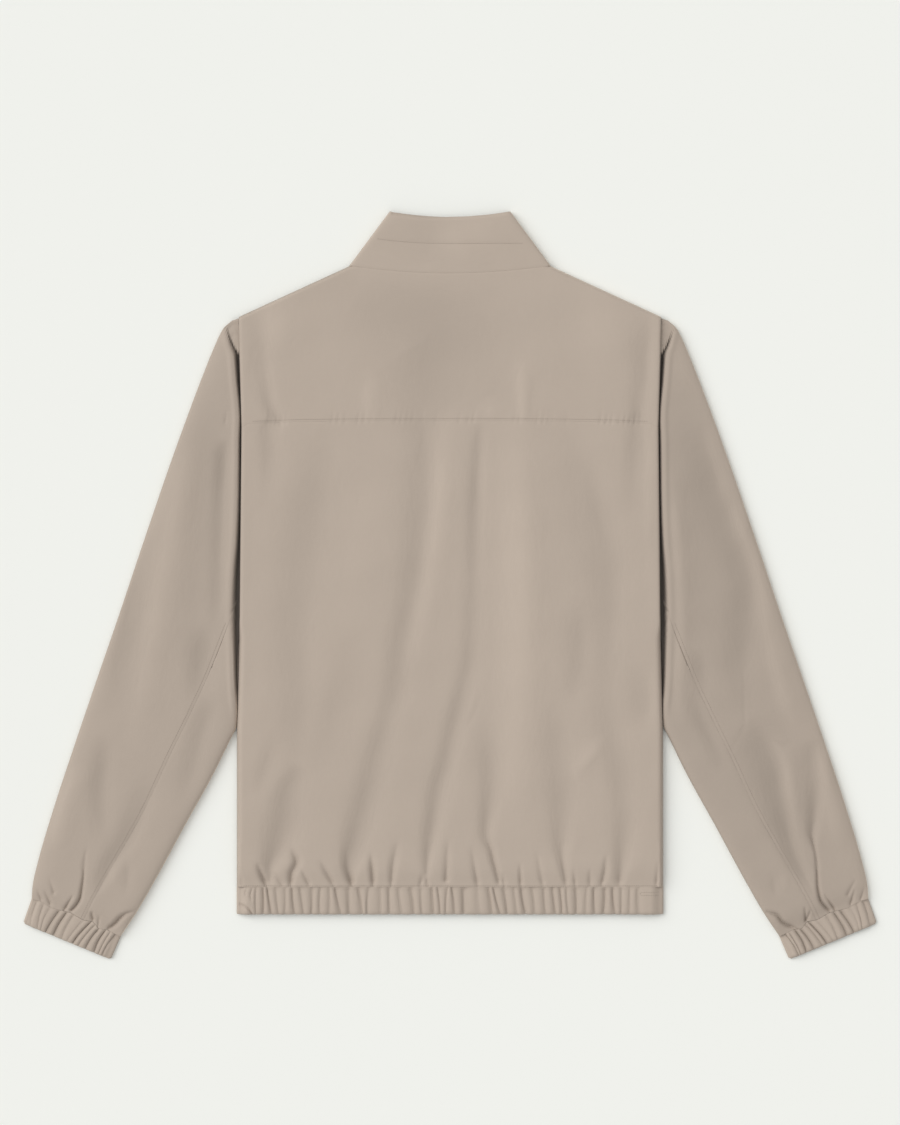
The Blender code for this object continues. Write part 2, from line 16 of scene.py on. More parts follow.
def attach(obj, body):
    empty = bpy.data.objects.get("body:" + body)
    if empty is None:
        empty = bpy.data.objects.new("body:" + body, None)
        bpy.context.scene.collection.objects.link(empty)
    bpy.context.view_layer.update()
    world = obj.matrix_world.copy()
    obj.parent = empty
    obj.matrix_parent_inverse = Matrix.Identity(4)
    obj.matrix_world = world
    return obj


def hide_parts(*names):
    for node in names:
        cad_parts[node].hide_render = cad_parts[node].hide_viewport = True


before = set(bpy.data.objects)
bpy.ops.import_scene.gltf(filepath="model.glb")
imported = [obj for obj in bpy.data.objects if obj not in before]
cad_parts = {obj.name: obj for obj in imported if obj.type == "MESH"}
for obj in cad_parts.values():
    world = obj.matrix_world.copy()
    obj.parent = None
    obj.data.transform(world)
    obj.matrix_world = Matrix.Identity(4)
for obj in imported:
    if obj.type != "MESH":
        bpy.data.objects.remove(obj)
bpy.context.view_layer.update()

bl_info = {
    "name": "Bomber jacket",
    "version": (1, 0, 0),
    "blender": (4, 5, 0),
    "location": "View3D > Sidebar > Jacket",
    "description": "Builds a bomber jacket that lies flat, one cut piece at a time",
    "category": "Add Mesh",
}

MM = 0.001
SIDES = (("left", -1), ("right", 1))

# Heights of the middle of the cloth above the surface that the jacket lies on.
GROUND_LEVEL = 0.5
BAND_GROUND_LEVEL = 0.55
COLLAR_GROUND_LEVEL = 0.8
BACK_LEVEL = 11.0
ARMHOLE_RIM = 7.2
CLOSED_RIM = 1.5
SLEEVE_LEVEL = 9.0
SLEEVE_FOLD_LEVEL = 6.2
GAP_FLOOR = 1.9
HEAD_LEVEL = 6.5
HEM_LEVEL = 8.6
CUFF_LEVEL = 6.0
CUFF_LOWEST = 1.9
COLLAR_LEVEL = 9.6
COLLAR_SIDE_LEVEL = 8.4

# How thick the cloth is: the shell, a gathered band and the doubled collar.
SHELL_WALL = 0.7
BAND_WALL = 0.9
COLLAR_WALL = 1.3

# The cloth turns down beside a seam, and by a share of that at the yoke and at the bands.
SEAM_GAP = 0.04
SEAM_DIP = 0.24
SEAM_DIP_REACH = 1.2
YOKE_DIP_SHARE = 0.7
BAND_DIP_SHARE = 0.4
# A first row or column as narrow as this keeps the shade even beside a seam.
SEAM_ROW = 0.15
FIRST_COLUMN_SHARE = 0.15

# Painted shade and light in the cloth's colour, as shares of it, where light and form alone don't
# give its shade. Painted shade, darker for each millimetre of depth of a fold, of the hem's and of
# the cuffs' gathers, and of a crease in the fronts. On a ridge, where a fold's depth is below 0,
# the same factor paints light instead.
FOLD_PAINTED_SHADE_AND_LIGHT = 0.032
BAND_PAINTED_SHADE = 0.03
CUFF_PAINTED_SHADE = 0.08
FRONT_PAINTED_SHADE = 0.03
# Painted shade: darker where the back rolls down at its sides, and at its left shoulder.
ROLL_PAINTED_SHADE = 0.24
SHOULDER_PAINTED_SHADE = 0.4
# Painted light, lighter, round a folded edge that faces right, and painted shade, below 0 darker,
# round one that faces left.
EDGE_PAINTED_LIGHT_AND_SHADE = {1: 0.7, -1: -0.1}
# Painted light: lighter towards the right sleeve's outer edge.
RIGHT_EDGE_PAINTED_LIGHT = 0.08
RIGHT_EDGE_REACH = 14.0

# Body.
NECK_HALF_WIDTH = 104.4
NECK_CORNER_Y = 333.4
BACK_NECK_DIP = 7.8
FRONT_NECK_DIP = 41.0
SHOULDER_HALF_WIDTH = 220.2
SHOULDER_Y = 280.2
ARMHOLE_END_Y = -36.0
UNDERARM_Y = -58.0
HEM_SEAM_Y = -314.1
HEM_BOTTOM_Y = -342.8
SIDE_ROLL = 5.0
SHOULDER_ROLL = 4.0
OPEN_ROLL = 2.0

# Height, half width of the body there.
BODY_HALF_WIDTHS = (
    (HEM_BOTTOM_Y, 222.3),
    (-154.0, 222.3),
    (-30.0, 219.0),
    (165.4, 217.1),
    (243.0, 219.4),
    (SHOULDER_Y, SHOULDER_HALF_WIDTH),
)
# Distance from the middle, height of the yoke seam there.
YOKE_SEAM = (
    (0.0, 171.7), (68.0, 171.7), (156.0, 170.6), (203.5, 169.0), (211.0, 168.2), (214.5, 165.6),
    (230.0, 165.0),
)

# Folds of the back. Each is a line down the cloth of places: x, y, depth (of a ridge, below 0),
# half width on its left and on its right. A row of four has the same width on both sides.
BACK_FOLDS = (
    ((-27, 159, 1.0, 16, 9), (-26, 120, 2.0, 20, 9), (-26, 90, 2.5, 20, 9), (-30, 42, 3.0, 18, 9),
     (-36, 0, 3.0, 16, 9), (-44, -36, 3.0, 14, 9), (-50, -67, 3.0, 14, 9), (-55, -109, 2.5, 13, 10),
     (-64, -136, 2.2, 12, 10), (-72, -165, 3.0, 13, 11), (-81, -203, 3.4, 13, 12),
     (-91, -240, 3.8, 13, 12), (-100, -271, 4.2, 11, 10), (-104, -297, 4.0, 7, 6),
     (-103, -311, 3.0, 4, 4)),
    ((32, 161, 1.2, 7, 6), (29, 108, 2.6, 8, 6), (27, 69, 2.2, 8, 7), (26, 34, 1.8, 8, 7),
     (25, -11, 1.6, 9, 8), (23, -56, 1.8, 9, 8), (22, -76, 2.0, 9, 8), (15, -106, 2.4, 9, 8),
     (8, -133, 2.8, 9, 8), (2, -159, 3.0, 10, 8), (-5, -189, 3.2, 10, 8), (-12, -213, 3.4, 10, 8),
     (-16, -240, 3.6, 9, 7), (-20, -266, 3.6, 8, 6), (-23, -287, 3.2, 6, 5), (-24, -299, 2.0, 4, 4)),
    ((41, -140, 0.0, 11, 9), (42, -180, 2.2, 12, 10), (43, -210, 2.7, 11, 9), (40, -236, 3.0, 8, 7),
     (39, -264, 3.2, 6, 5), (43, -275, 3.6, 4.5, 4), (46, -288, 4.0, 4, 3.5), (49, -300, 4.0, 3.5, 3),
     (51, -310, 3.5, 3, 3)),
    ((130, 147, 0.8, 18, 12), (146, 93, 2.0, 24, 14), (160, 48, 2.8, 26, 14), (167, -5, 3.0, 24, 12),
     (165, -57, 2.5, 22, 12), (163, -99, 1.6, 18, 12), (169, -151, 2.1, 16, 12),
     (177, -193, 2.2, 14, 12), (182, -245, 2.6, 12, 10), (180, -276, 3.4, 9, 8),
     (177, -311, 3.5, 5, 4)),
    ((149, 137, 0.0, 8), (152, 95, 0.6, 8), (160, 58, 0.6, 8), (169, 30, 0.0, 8)),
    ((134, -10, 0.0, 14, 9), (136, -57, 2.2, 14, 9), (133, -99, 1.5, 12, 9), (126, -125, 0.0, 10, 8)),
    ((110, -118, 0.0, 12, 9), (113, -165, 1.9, 14, 11), (115, -196, 2.1, 14, 11),
     (117, -225, 2.6, 13, 11), (116, -266, 2.8, 9, 7), (117, -282, 3.2, 6, 5), (120, -303, 3.5, 4, 4),
     (121, -311, 3.0, 3, 3)),
    ((-126, 150, 0.8, 18, 12), (-135, 110, 2.0, 24, 16), (-143, 68, 2.4, 26, 16),
     (-150, 18, 2.4, 26, 16), (-155, -15, 2.2, 24, 14), (-158, -57, 2.2, 22, 13),
     (-155, -120, 2.2, 22, 12), (-159, -161, 1.8, 18, 12), (-165, -198, 0.0, 12, 10)),
    ((-180, -148, 0.0, 9), (-188, -180, 1.4, 9), (-196, -205, 1.2, 8), (-200, -222, 0.0, 8)),
    ((-151, -188, 0.0, 10, 9), (-159, -198, 2.4, 11, 10), (-167, -213, 3.6, 13, 12),
     (-172, -244, 4.2, 15, 14), (-180, -275, 4.8, 14, 9), (-187, -293, 4.4, 9, 6),
     (-188, -311, 3.0, 5, 4)),
    ((-92, -40, 0.0, 16), (-104, -85, 1.0, 16), (-120, -135, 1.4, 16), (-134, -175, 1.0, 16),
     (-146, -215, 0.4, 14), (-150, -235, 0.0, 12)),
    ((-189, 163, 2.2, 9), (-188, 135, 1.8, 9), (-190, 99, 0.6, 9), (-191, 75, 0.0, 9)),
    ((196, 164, 2.2, 10), (194, 140, 2.0, 10), (191, 89, 0.7, 10), (190, 65, 0.0, 10)),
    ((200, -80, 0.0, 14, 10), (203, -119, 2.0, 16, 10), (198, -155, 0.0, 14, 10)),
    ((70, 155, -1.2, 20, 14), (75, 60, -3.0, 24, 15), (76, -40, -3.2, 26, 16),
     (75, -110, -2.8, 26, 16), (72, -180, -2.0, 22, 15), (72, -270, 0.0, 18, 13)),
    ((-2, 160, -0.8, 11), (-6, 100, -2.0, 12), (-16, 30, -1.6, 12), (-25, -30, -1.0, 12),
     (-35, -90, 0.0, 12)),
    ((-66, 130, 0.0, 18), (-85, 60, -1.0, 20), (-95, 0, -0.8, 20, 18), (-106, -65, 0.0, 18, 16)),
    ((128, -205, 0.0, 7), (140, -186, -1.0, 7), (152, -172, -1.0, 7), (165, -156, 0.0, 7)),
    ((210, 150, -0.5, 5), (210, 70, -0.8, 5), (211, 0, 0.0, 5)),
    ((33, -115, 0.2, 2), (24, -136, 0.7, 2), (18, -148, 0.2, 2)),
    ((-199, 282, 0.5, 12, 7), (-196, 251, 1.6, 12, 7), (-193, 225, 1.8, 11, 6), (-190, 204, 2.0, 9, 6),
     (-185, 185, 2.6, 8, 5), (-178, 172, 2.2, 6, 5)),
    ((209, 285, 0.5, 14, 8), (208, 260, 1.6, 16, 8), (205, 240, 2.4, 15, 8), (204, 219, 2.4, 13, 8),
     (199, 198, 2.0, 10, 8), (196, 176, 2.4, 8, 7)),
    ((-95, 305, 0.8, 44), (-50, 280, 2.8, 44), (-10, 262, 3.6, 44), (-15, 230, 3.6, 42),
     (-25, 190, 3.0, 34), (-28, 172, 2.2, 24)),
    ((-81, 226, 0.0, 9), (-81, 200, -1.2, 9), (-81, 176, -0.8, 7)),
    ((77, 238, 0.0, 7), (77, 210, -1.5, 7), (77, 178, -1.0, 6)),
    ((44, 197, 0.0, 9), (44, 183, -1.0, 9)),
    ((-180, 292, -1.1, 16), (-175, 262, -1.6, 16), (-172, 235, 0.0, 14)),
    ((160, 300, -0.8, 26), (161, 255, -0.8, 26), (161, 215, 0.0, 24)),
)

# Puckers that the elastic of the hem pulls into the back: x, y, depth, half width.
HEM_PUCKERS = (
    ((-219, -300, 0.3, 3.0), (-217, -313, 2.0, 2.5)),
    ((-201, -289, 0.3, 3.0), (-197, -300, 3.5, 3.2), (-192, -312, 4.5, 2.8)),
    ((-183, -301, 0.4, 3.0), (-175, -312, 2.5, 2.5)),
    ((-165, -274, 0.4, 4.0), (-160, -289, 4.0, 4.5), (-165, -300, 4.0, 4.0), (-166, -313, 4.0, 2.8)),
    ((-154, -297, 0.6, 3.0), (-147, -312, 3.0, 2.5)),
    ((-134, -289, 0.6, 4.0), (-128, -300, 2.5, 3.5), (-121, -313, 3.0, 2.5)),
    ((-108, -272, 0.2, 5.0), (-107, -295, 1.8, 4.5), (-102, -313, 3.6, 2.8)),
    ((-82, -279, 0.4, 3.5), (-81, -297, 3.6, 3.5), (-80, -313, 4.0, 2.5)),
    ((-55, -268, 0.4, 4.5), (-60, -297, 2.6, 4.0), (-61, -313, 2.5, 2.5)),
    ((-25, -303, 0.6, 2.5), (-23, -313, 2.5, 2.0)),
    ((-29, -303, 0.6, 2.5), (-31, -313, 2.5, 2.0)),
    ((-2, -266, 0.4, 4.0), (-4, -307, 2.8, 3.5)),
    ((23, -276, 0.4, 4.0), (29, -313, 3.0, 3.0)),
    ((55, -302, 0.5, 2.5), (57, -314, 3.0, 2.0)),
    ((73, -290, 0.3, 2.5), (74, -314, 3.5, 2.2)),
    ((91, -281, 0.4, 4.0), (97, -313, 2.0, 3.0)),
    ((129, -297, 0.4, 2.5), (131, -314, 2.5, 2.0)),
    ((146, -297, 0.5, 3.5), (146, -313, 2.2, 2.5)),
    ((163, -282, 0.4, 3.0), (161, -300, 2.4, 3.5), (158, -313, 2.6, 2.5)),
    ((217, -289, 0.3, 2.5), (215, -313, 2.2, 2.0)),
)

# Small puckers above the yoke seam: place across, length, depth.
YOKE_PUCKERS = (
    (-189.9, 9, 0.7), (-185.8, 8, 0.7), (-181.6, 10, 0.6), (-176.4, 8, 0.7), (-171.1, 8, 0.5),
    (-123.1, 8, 0.5), (-116.9, 9, 0.5), (-109.6, 8, 0.4), (-96.0, 8, 0.5), (-89.7, 9, 0.5),
    (-82.4, 8, 0.4), (-56.4, 9, 0.5), (-51.1, 8, 0.6), (-44.9, 9, 0.5), (-39.7, 8, 0.5),
    (-14.6, 8, 0.4), (9.4, 8, 0.4), (18.8, 9, 0.5), (24.0, 8, 0.5), (66.8, 8, 0.4),
    (72.0, 9, 0.5), (90.8, 9, 0.5), (97.1, 8, 0.6), (102.3, 9, 0.5), (106.4, 8, 0.4),
    (121.1, 8, 0.4), (156.5, 9, 0.5), (162.8, 8, 0.6), (168.0, 9, 0.6), (176.4, 8, 0.6),
    (181.6, 10, 0.7), (186.8, 8, 0.7), (192.0, 9, 0.7),
)

# Gathers of the hem band: place at the seam, place at the open edge, strength.
HEM_PLEATS = (
    (-213.5, -213.5, 0.0), (-208.0, -208.0, 0.1), (-202.2, -202.2, 0.5), (-194.9, -194.9, 0.9),
    (-191.1, -186.2, 0.9), (-181.6, -178.5, 0.6),
    (-171.6, -172.7, 0.5), (-164.7, -161.7, 0.9), (-157.1, -152.5, 0.7), (-143.6, -144.4, 0.8),
    (-134.9, -135.7, 0.6), (-125.7, -126.5, 0.6), (-120.4, -113.5, 0.9), (-105.5, -105.5, 0.9),
    (-95.9, -90.8, 0.9), (-84.4, -87.0, 0.6), (-72.9, -72.1, 0.6), (-63.7, -63.3, 0.8),
    (-53.8, -49.9, 0.6), (-41.2, -37.2, 0.9), (-30.1, -29.3, 0.6), (-18.6, -16.6, 0.9),
    (-13.2, -10.0, 0.7), (-2.0, -4.5, 0.6), (1.2, 5.1, 0.8), (14.1, 14.1, 1.0),
    (28.8, 31.1, 0.5), (39.9, 43.9, 0.9), (45.0, 52.7, 0.8), (55.8, 59.7, 0.9),
    (66.6, 69.7, 0.6), (73.9, 79.0, 1.0), (85.2, 88.3, 0.7), (98.3, 99.8, 0.8),
    (106.8, 110.2, 0.9), (114.5, 116.8, 0.8), (121.5, 123.7, 0.5), (130.7, 131.5, 0.9),
    (143.1, 141.5, 0.5), (150.0, 151.1, 0.9), (161.6, 159.8, 1.0), (169.7, 172.4, 1.0),
    (178.6, 178.3, 0.6), (187.6, 186.6, 0.5), (195.6, 196.4, 0.5),
)
# How wide the last rib is at each end of a band.
END_RIB = 8.0
# Wrinkles at the left end of the hem band.
HEM_FOLDS = (
    ((-220.2, -332.4, 1.2, 1.4), (-213.9, -334.5, 2.2, 1.5), (-208.7, -338.6, 2.4, 1.4),
     (-206.1, -342.8, 2.4, 1.3)),
    ((-212, -316, 0.8, 1.4), (-213.5, -322, 1.4, 1.5), (-212, -328, 0.3, 1.4)),
    ((-206, -316, 0.8, 1.4), (-208, -323, 1.2, 1.4), (-206.5, -329, 0.3, 1.4)),
)

# Gathers of a cuff: share of the way from the outer corner at the seam and at the open edge,
# strength.
CUFF_PLEATS = (
    (0.059, 0.080, 0.35), (0.135, 0.166, 0.35), (0.215, 0.200, 0.25), (0.317, 0.253, 0.9),
    (0.393, 0.345, 1.0), (0.468, 0.444, 0.4), (0.590, 0.500, 0.3), (0.667, 0.566, 1.0),
    (0.718, 0.627, 0.5), (0.766, 0.710, 0.9), (0.838, 0.815, 1.0), (0.890, 0.862, 0.4),
    (0.949, 0.902, 0.6),
)

# Sleeve head: outer edge x and y, height where the row meets the armhole.
SLEEVE_HEAD_ROWS = (
    (227.2, 276.2, 278.6),
    (235.2, 269.5, 270.5),
    (240.4, 261.0, 260.0),
    (244.9, 251.0, 246.0),
    (257.5, 220.0, 212.0),
    (275.3, 172.7, 165.4),
    (294.0, 120.5, 105.0),
    (311.9, 68.4, 52.0),
    (325.6, 28.0, 12.0),
)
# Sleeve below the head: outer edge x and y, back seam x and y, underarm fold x and y. Where the
# fold's x is 0 it lies beside the body.
SLEEVE_ARM_ROWS = (
    (346.0, -33.0, 231.0, -40.0, 0.0, -66.0),
    (367.0, -94.0, 256.3, -102.6, 0.0, -112.0),
    (379.6, -131.0, 269.8, -131.7, 0.0, -144.0),
    (382.0, -138.0, 272.4, -137.2, 223.1, -147.5),
    (384.3, -144.7, 275.9, -144.3, 228.2, -157.6),
    (393.4, -171.7, 290.0, -172.7, 245.0, -192.0),
    (414.5, -236.0, 320.0, -236.0, 278.0, -252.0),
    (429.5, -287.0, 350.6, -290.0, 309.0, -309.0),
    (435.4, -313.0, 371.0, -326.0, 330.0, -345.0),
    (436.4, -326.9, 382.7, -349.4, 344.2, -366.0),
)
SLEEVE_SEAM_HALF_GAP = 0.05
HEAD_TUCK = 5.0
FOLD_RADIUS = 1.5
BESIDE_BODY = 0.75

# Where the dark gap between the body and the sleeve ends: x, y from the shoulder down.
ARMHOLE_GAP = (
    (235.6, 272.5),
    (234.3, 269.8),
    (229.0, 249.0),
    (227.0, 244.0),
    (225.3, 229.0),
    (224.0, 212.0),
    (221.8, 190.0),
    (220.9, 175.0),
    (221.5, 158.0),
    (222.0, 114.0),
    (222.6, 80.0),
    (224.2, 45.0),
    (226.3, 17.0),
    (227.5, -15.0),
    (227.0, -70.0),
    (225.0, -114.0),
    (223.8, -125.0),
    (222.3, -146.0),
)
# Where the puckered corner of the sleeve head ends at that gap: height, x.
HEAD_CORNER = (
    (234.0, 205.0), (238.0, 216.0), (240.0, 219.0), (243.5, 221.8), (247.0, 224.5), (258.0, 229.5),
    (269.8, 234.0), (275.0, 236.2),
)
GAP_RISE_REACH = 3.6
# How much darker the gap is.
GAP_SHADE = 0.72
GAP_END_Y = -128.0
# Painted shade: how much darker each sleeve is drawn than the back.
SLEEVE_PAINTED_SHADE = {"left": -0.06, "right": -0.12}

# Folds of the sleeves, in the columns of the back's folds.
SLEEVE_FOLDS = {
    "left": (
        ((-233, 184, 0.0, 2.5), (-234, 170, 0.8, 2.5)),
        ((-248, 215, 0.0, 18), (-252, 150, 1.4, 20), (-258, 60, 1.4, 20), (-262, -20, 1.0, 18),
         (-266, -80, 0.0, 16)),
        ((-234, 152, 0.0, 8, 5), (-235, 138, 2.6, 9, 6), (-236, 120, 3.2, 9, 6), (-238, 89, 2.4, 9, 6),
         (-240, 37, 1.8, 9, 6), (-241, -15, 1.5, 9, 6), (-244, -46, 0.0, 8, 6)),
        ((-254, -38, 0.0, 12, 9), (-258, -72, 2.8, 14, 10), (-261, -98, 2.2, 13, 10),
         (-264, -124, 0.0, 11, 9)),
        ((-246, -115, 0.0, 11, 8), (-253, -136, 1.8, 12, 8), (-261, -161, 2.0, 12, 8),
         (-271, -198, 1.6, 12, 8), (-284, -232, 0.0, 10, 8)),
        ((-268, 150, 0.0, 13), (-280, 88, -2.2, 14), (-290, 39, -2.2, 14), (-299, 6, -2.0, 14),
         (-308, -57, -1.8, 14), (-317, -120, -1.6, 14), (-337, -190, 0.0, 12)),
        ((-316, 65, 0.0, 11, 14), (-326, 30, 1.4, 13, 15), (-338, -60, 1.8, 14, 16),
         (-345, -105, 1.0, 13, 14), (-350, -135, 0.0, 10)),
        ((-360, -155, 0.0, 9, 8), (-361, -182, 2.1, 11, 8), (-363, -203, 2.4, 11, 8),
         (-364, -224, 2.0, 11, 8), (-362, -250, 1.0, 10, 8), (-360, -280, 0.0, 9, 7)),
        ((-388, -185, 0.0, 10), (-390, -201, -1.5, 10), (-399, -224, -1.6, 10), (-407, -255, -1.6, 10),
         (-410, -285, 0.0, 9)),
        ((-309, -200, 0.2, 14, 7), (-324, -240, 2.2, 14, 7), (-337, -266, 2.8, 13, 7),
         (-352, -289, 3.0, 11, 6), (-362, -309, 2.0, 9, 5), (-368, -323, 0.2, 6, 4)),
        ((-337, -280, 0.0, 5), (-336, -305, 0.9, 5), (-338, -324, 0.0, 5)),
        ((-350, -288, 0.0, 5), (-350, -300, -0.55, 5), (-350, -314, 0.0, 5)),
        ((-379, -274, 0.2, 1.8), (-381, -285, 1.2, 1.9), (-382, -303, 2.4, 2.0), (-384, -317, 3.6, 2.2),
         (-386, -327, 4.5, 2.4), (-390.5, -334.5, 4.5, 2.4), (-396, -341, 4.0, 2.0)),
        ((-329, -340, 1.5, 2.4), (-338, -342.5, 2.8, 2.6), (-344, -347, 4.2, 3.0),
         (-349.5, -353, 4.4, 2.8), (-357, -359, 3.6, 2.2)),
        ((-394, -325, 1.0, 2.0), (-400, -334.5, 2.8, 2.1), (-403.5, -340.5, 3.4, 2.0)),
        ((-373.6, -342, 2.0, 1.9), (-373.6, -351.5, 3.4, 1.9)),
        ((-417, -307, 0.4, 2.6), (-413, -320, 1.8, 2.6)),
        ((-422, -320, 0.6, 2.2), (-417, -332, 2.6, 2.2)),
        ((-430, -318, 0.5, 2.2), (-427, -329, 2.0, 2.0)),
        ((-366, -346, 0.6, 2.2), (-367, -357, 2.4, 1.8)),
    ),
    "right": (
        ((250, 215, 0.0, 16), (254, 150, 1.2, 18), (262, 60, 1.2, 18), (268, -20, 0.8, 18),
         (272, -80, 0.0, 16)),
        ((260, 170, 0.0, 12, 7), (267, 136, 1.8, 16, 7), (275, 113, 2.4, 18, 7), (279, 94, 2.6, 20, 8),
         (287, 74, 2.8, 20, 9), (293, 50, 3.0, 20, 11), (302, 32, 3.0, 20, 11), (309, 8, 3.0, 20, 11),
         (309, -20, 3.2, 20, 11), (306, -52, 3.2, 20, 11), (304, -78, 2.4, 18, 10), (306, -120, 0.9, 12, 9),
         (306, -146, 0.0, 10, 8)),
        ((232, 125, 0.0, 7), (237, 60, -1.5, 7), (241, 10, -1.5, 7), (242, -57, -1.5, 7),
         (240, -110, -1.2, 7), (243, -155, 0.0, 7)),
        ((258, -66, 0.0, 9, 7), (262, -86, 1.8, 9, 7), (263, -108, 0.8, 9, 7), (258, -122, 1.2, 9, 7),
         (263, -140, 1.8, 9, 7), (275, -165, 1.8, 9, 7), (288, -195, 0.0, 9, 7)),
        ((314, -138, 0.0, 16, 8), (326, -166, 2.6, 22, 8), (336, -187, 3.6, 24, 8),
         (343, -213, 4.2, 22, 7), (347.5, -236, 4.4, 18, 7), (353, -260, 4.2, 13, 6),
         (359, -281, 3.6, 10, 6), (368, -299, 2.6, 8, 5), (377, -316, 0.3, 6, 4)),
        ((340, -158, 0.0, 8), (352, -190, -1.8, 8), (355, -225, -1.8, 8), (363, -262, 0.0, 7)),
        ((341, -163, 0.3, 2.5), (348, -166, 1.0, 2.5), (356, -164, 0.3, 2.5)),
        ((377, -160, 0.0, 9, 8), (378, -172, 1.4, 10, 8), (380, -198, 1.8, 10, 8),
         (381, -224, 2.6, 9, 6), (380, -245, 3.2, 7, 5), (378, -262, 3.2, 5, 4), (380, -275, 0.6, 3)),
        ((378, -263, 1.0, 1.8), (382, -284, 2.6, 1.9), (383, -303, 3.0, 2.0), (384, -318, 3.8, 2.2),
         (387, -329, 4.5, 2.4), (392.5, -336.5, 4.5, 2.4), (397, -342, 4.0, 2.0)),
        ((296, 85, 0.0, 8), (304, 61, -1.2, 8), (320, 22, -1.5, 9), (333, -40, -1.2, 9),
         (352, -120, -1.6, 9), (368, -158, 0.0, 9)),
        ((386, -165, 0.0, 9), (389, -180, -1.2, 9), (395, -215, -1.5, 9), (404, -255, -1.0, 9),
         (408, -280, 0.0, 8)),
        ((338, -298, 0.0, 5), (338, -315, 0.8, 5), (341, -326, 0.0, 5)),
        ((349, -298, 0.0, 4), (350, -310, -0.5, 4), (351, -320, 0.0, 4)),
        ((331, -340.5, 1.6, 2.4), (341, -344, 3.8, 2.8), (347.5, -351.5, 4.4, 2.8),
         (357, -357, 4.2, 2.4), (364, -359, 3.0, 2.0)),
        ((391.5, -323.5, 0.6, 2.0), (398, -333, 2.8, 2.1), (402.5, -340.5, 3.4, 2.0)),
        ((370, -336.5, 0.8, 1.8), (372, -352, 3.2, 1.8)),
        ((375.5, -340.5, 0.8, 1.8), (372.5, -351.5, 3.0, 1.8)),
        ((422, -308, 0.4, 2.6), (415, -322, 1.8, 2.6)),
        ((422, -318, 0.6, 2.2), (418, -333, 2.6, 2.2)),
        ((432, -316, 0.5, 2.2), (429, -329, 2.2, 2.0)),
        ((306, -90, 0.2, 1.6), (306.5, -120, 0.4, 1.6), (306, -146, 0.5, 1.6), (291, -174, 0.5, 1.6)),
    ),
}
# Small puckers of the sleeve head between the armhole seam and the gap.
HEAD_PUCKERS = (
    ((222, 273, 0.4, 1.5), (231, 268, 0.8, 1.7)),
    ((221, 263, 0.6, 1.5), (229, 259, 0.8, 1.6)),
    ((221, 252, 0.5, 1.4), (227, 247, 0.8, 1.5)),
    ((221, 241, 0.4, 1.4), (225, 236, 0.6, 1.4)),
)

# Cuff: the seam and the open edge, each from the outer to the inner corner.
CUFF_SEAM = ((436.4, -326.96), (344.2, -366.08))
CUFF_OPEN_EDGE = ((445.4, -352.6), (354.6, -390.1))
# How far the seam wanders up the sleeve: share of the way across, distance.
CUFF_WANDER = (
    (0.0, 0.0), (0.09, 1.2), (0.23, -0.5), (0.43, 2.5), (0.58, 0.7), (0.68, 3.0), (0.76, -1.4),
    (0.85, 0.9), (1.0, 0.0),
)
WANDER_REACH = 8.0

# Collar.
COLLAR_TOP_HALF_WIDTH = 62.6
COLLAR_TOP_Y = 389.8
COLLAR_BACK_DIP = 5.6
COLLAR_FRONT_DIP = 39.0
COLLAR_STITCH_Y = 356.4
COLLAR_FOLDS = (
    ((-76, 361.6, 0.0, 3.0), (-40, 357.8, 0.3, 3.0), (0, 356.4, 0.4, 3.0), (60, 356.7, 0.25, 3.0),
     (78, 357, 0.0, 3.0)),
    ((-60, 387.5, 1.2, 1.5), (-20, 383.5, 1.2, 1.5), (5, 383, 0.2, 1.5)),
    ((-18, 388, 0.0, 22, 14), (-20, 365, 0.8, 28, 12), (-25, 345, 1.0, 28, 12),
     (-27, 325, 0.0, 26, 12)),
    ((6, 388, 0.0, 18, 30), (10, 372, -0.8, 18, 34), (20, 350, -1.0, 18, 34),
     (30, 325, 0.0, 18, 30)),
)


# Zip.
FRONT_EDGE_X = 7.0
TAPE_OUTER_X = 13.0
TAPE_INNER_X = 1.6
TAPE_WALL = 0.5
# Height, middle of the chain above the surface.
ZIP_ROWS = (
    (-340.5, 1.85),
    (-318.0, 1.85),
    (-300.0, 1.60),
    (0.0, 1.60),
    (262.0, 1.60),
    (284.0, 2.20),
    (297.0, 3.05),
    (310.0, 3.95),
    (349.0, 3.95),
)
TEETH_BOTTOM_Y = -332.0
TEETH_TOP_Y = 345.0
TAPE_COLUMNS = 10
TAPE_ROW_PLACES = np.concatenate([
    np.linspace(-341.0, -300.0, 16), np.linspace(-296.0, 262.0, 120), np.linspace(265.0, 349.0, 34)])
# The tape lies in a slight wave: its height, and how fast it turns down the zip.
TAPE_WAVE = 0.06
TAPE_WAVE_TURNS = 0.35
# Head and shank of a coil's turn: from x to x, half its length down the zip, half its height.
TOOTH_PARTS = ((-0.5, 1.0, 0.36, 0.62), (0.9, 2.9, 0.26, 0.85))

# Stitches: share of the length and share of the thread's radius, from end to end.
STITCH_SHAPE = ((-0.5, 0.25), (-0.42, 0.8), (0.0, 1.0), (0.42, 0.8), (0.5, 0.25))
STITCH_SIDES = 6
STITCH_LIFT = 0.04
# Left, right, top and bottom of the stitches at the hem band's right end, a box with no right side.
HEM_TACK_BOX = (198.5, 218.0, -319.8, -323.0)
# How far the rows lie from the yoke, hem and sleeve seams, the sleeve's also at its end by the cuff.
YOKE_STITCH_AWAY = 2.4
HEM_STITCH_AWAY = 1.2
SLEEVE_STITCH_SHIFT = (3.0, 1.2)
SLEEVE_STITCH_END_SHIFT = (2.4, 2.6)
# How far the collar's row rises to its left and right, and where.
COLLAR_STITCH_RISES = {-1: 5.2, 1: 0.4}
COLLAR_STITCH_END_X = 78.0

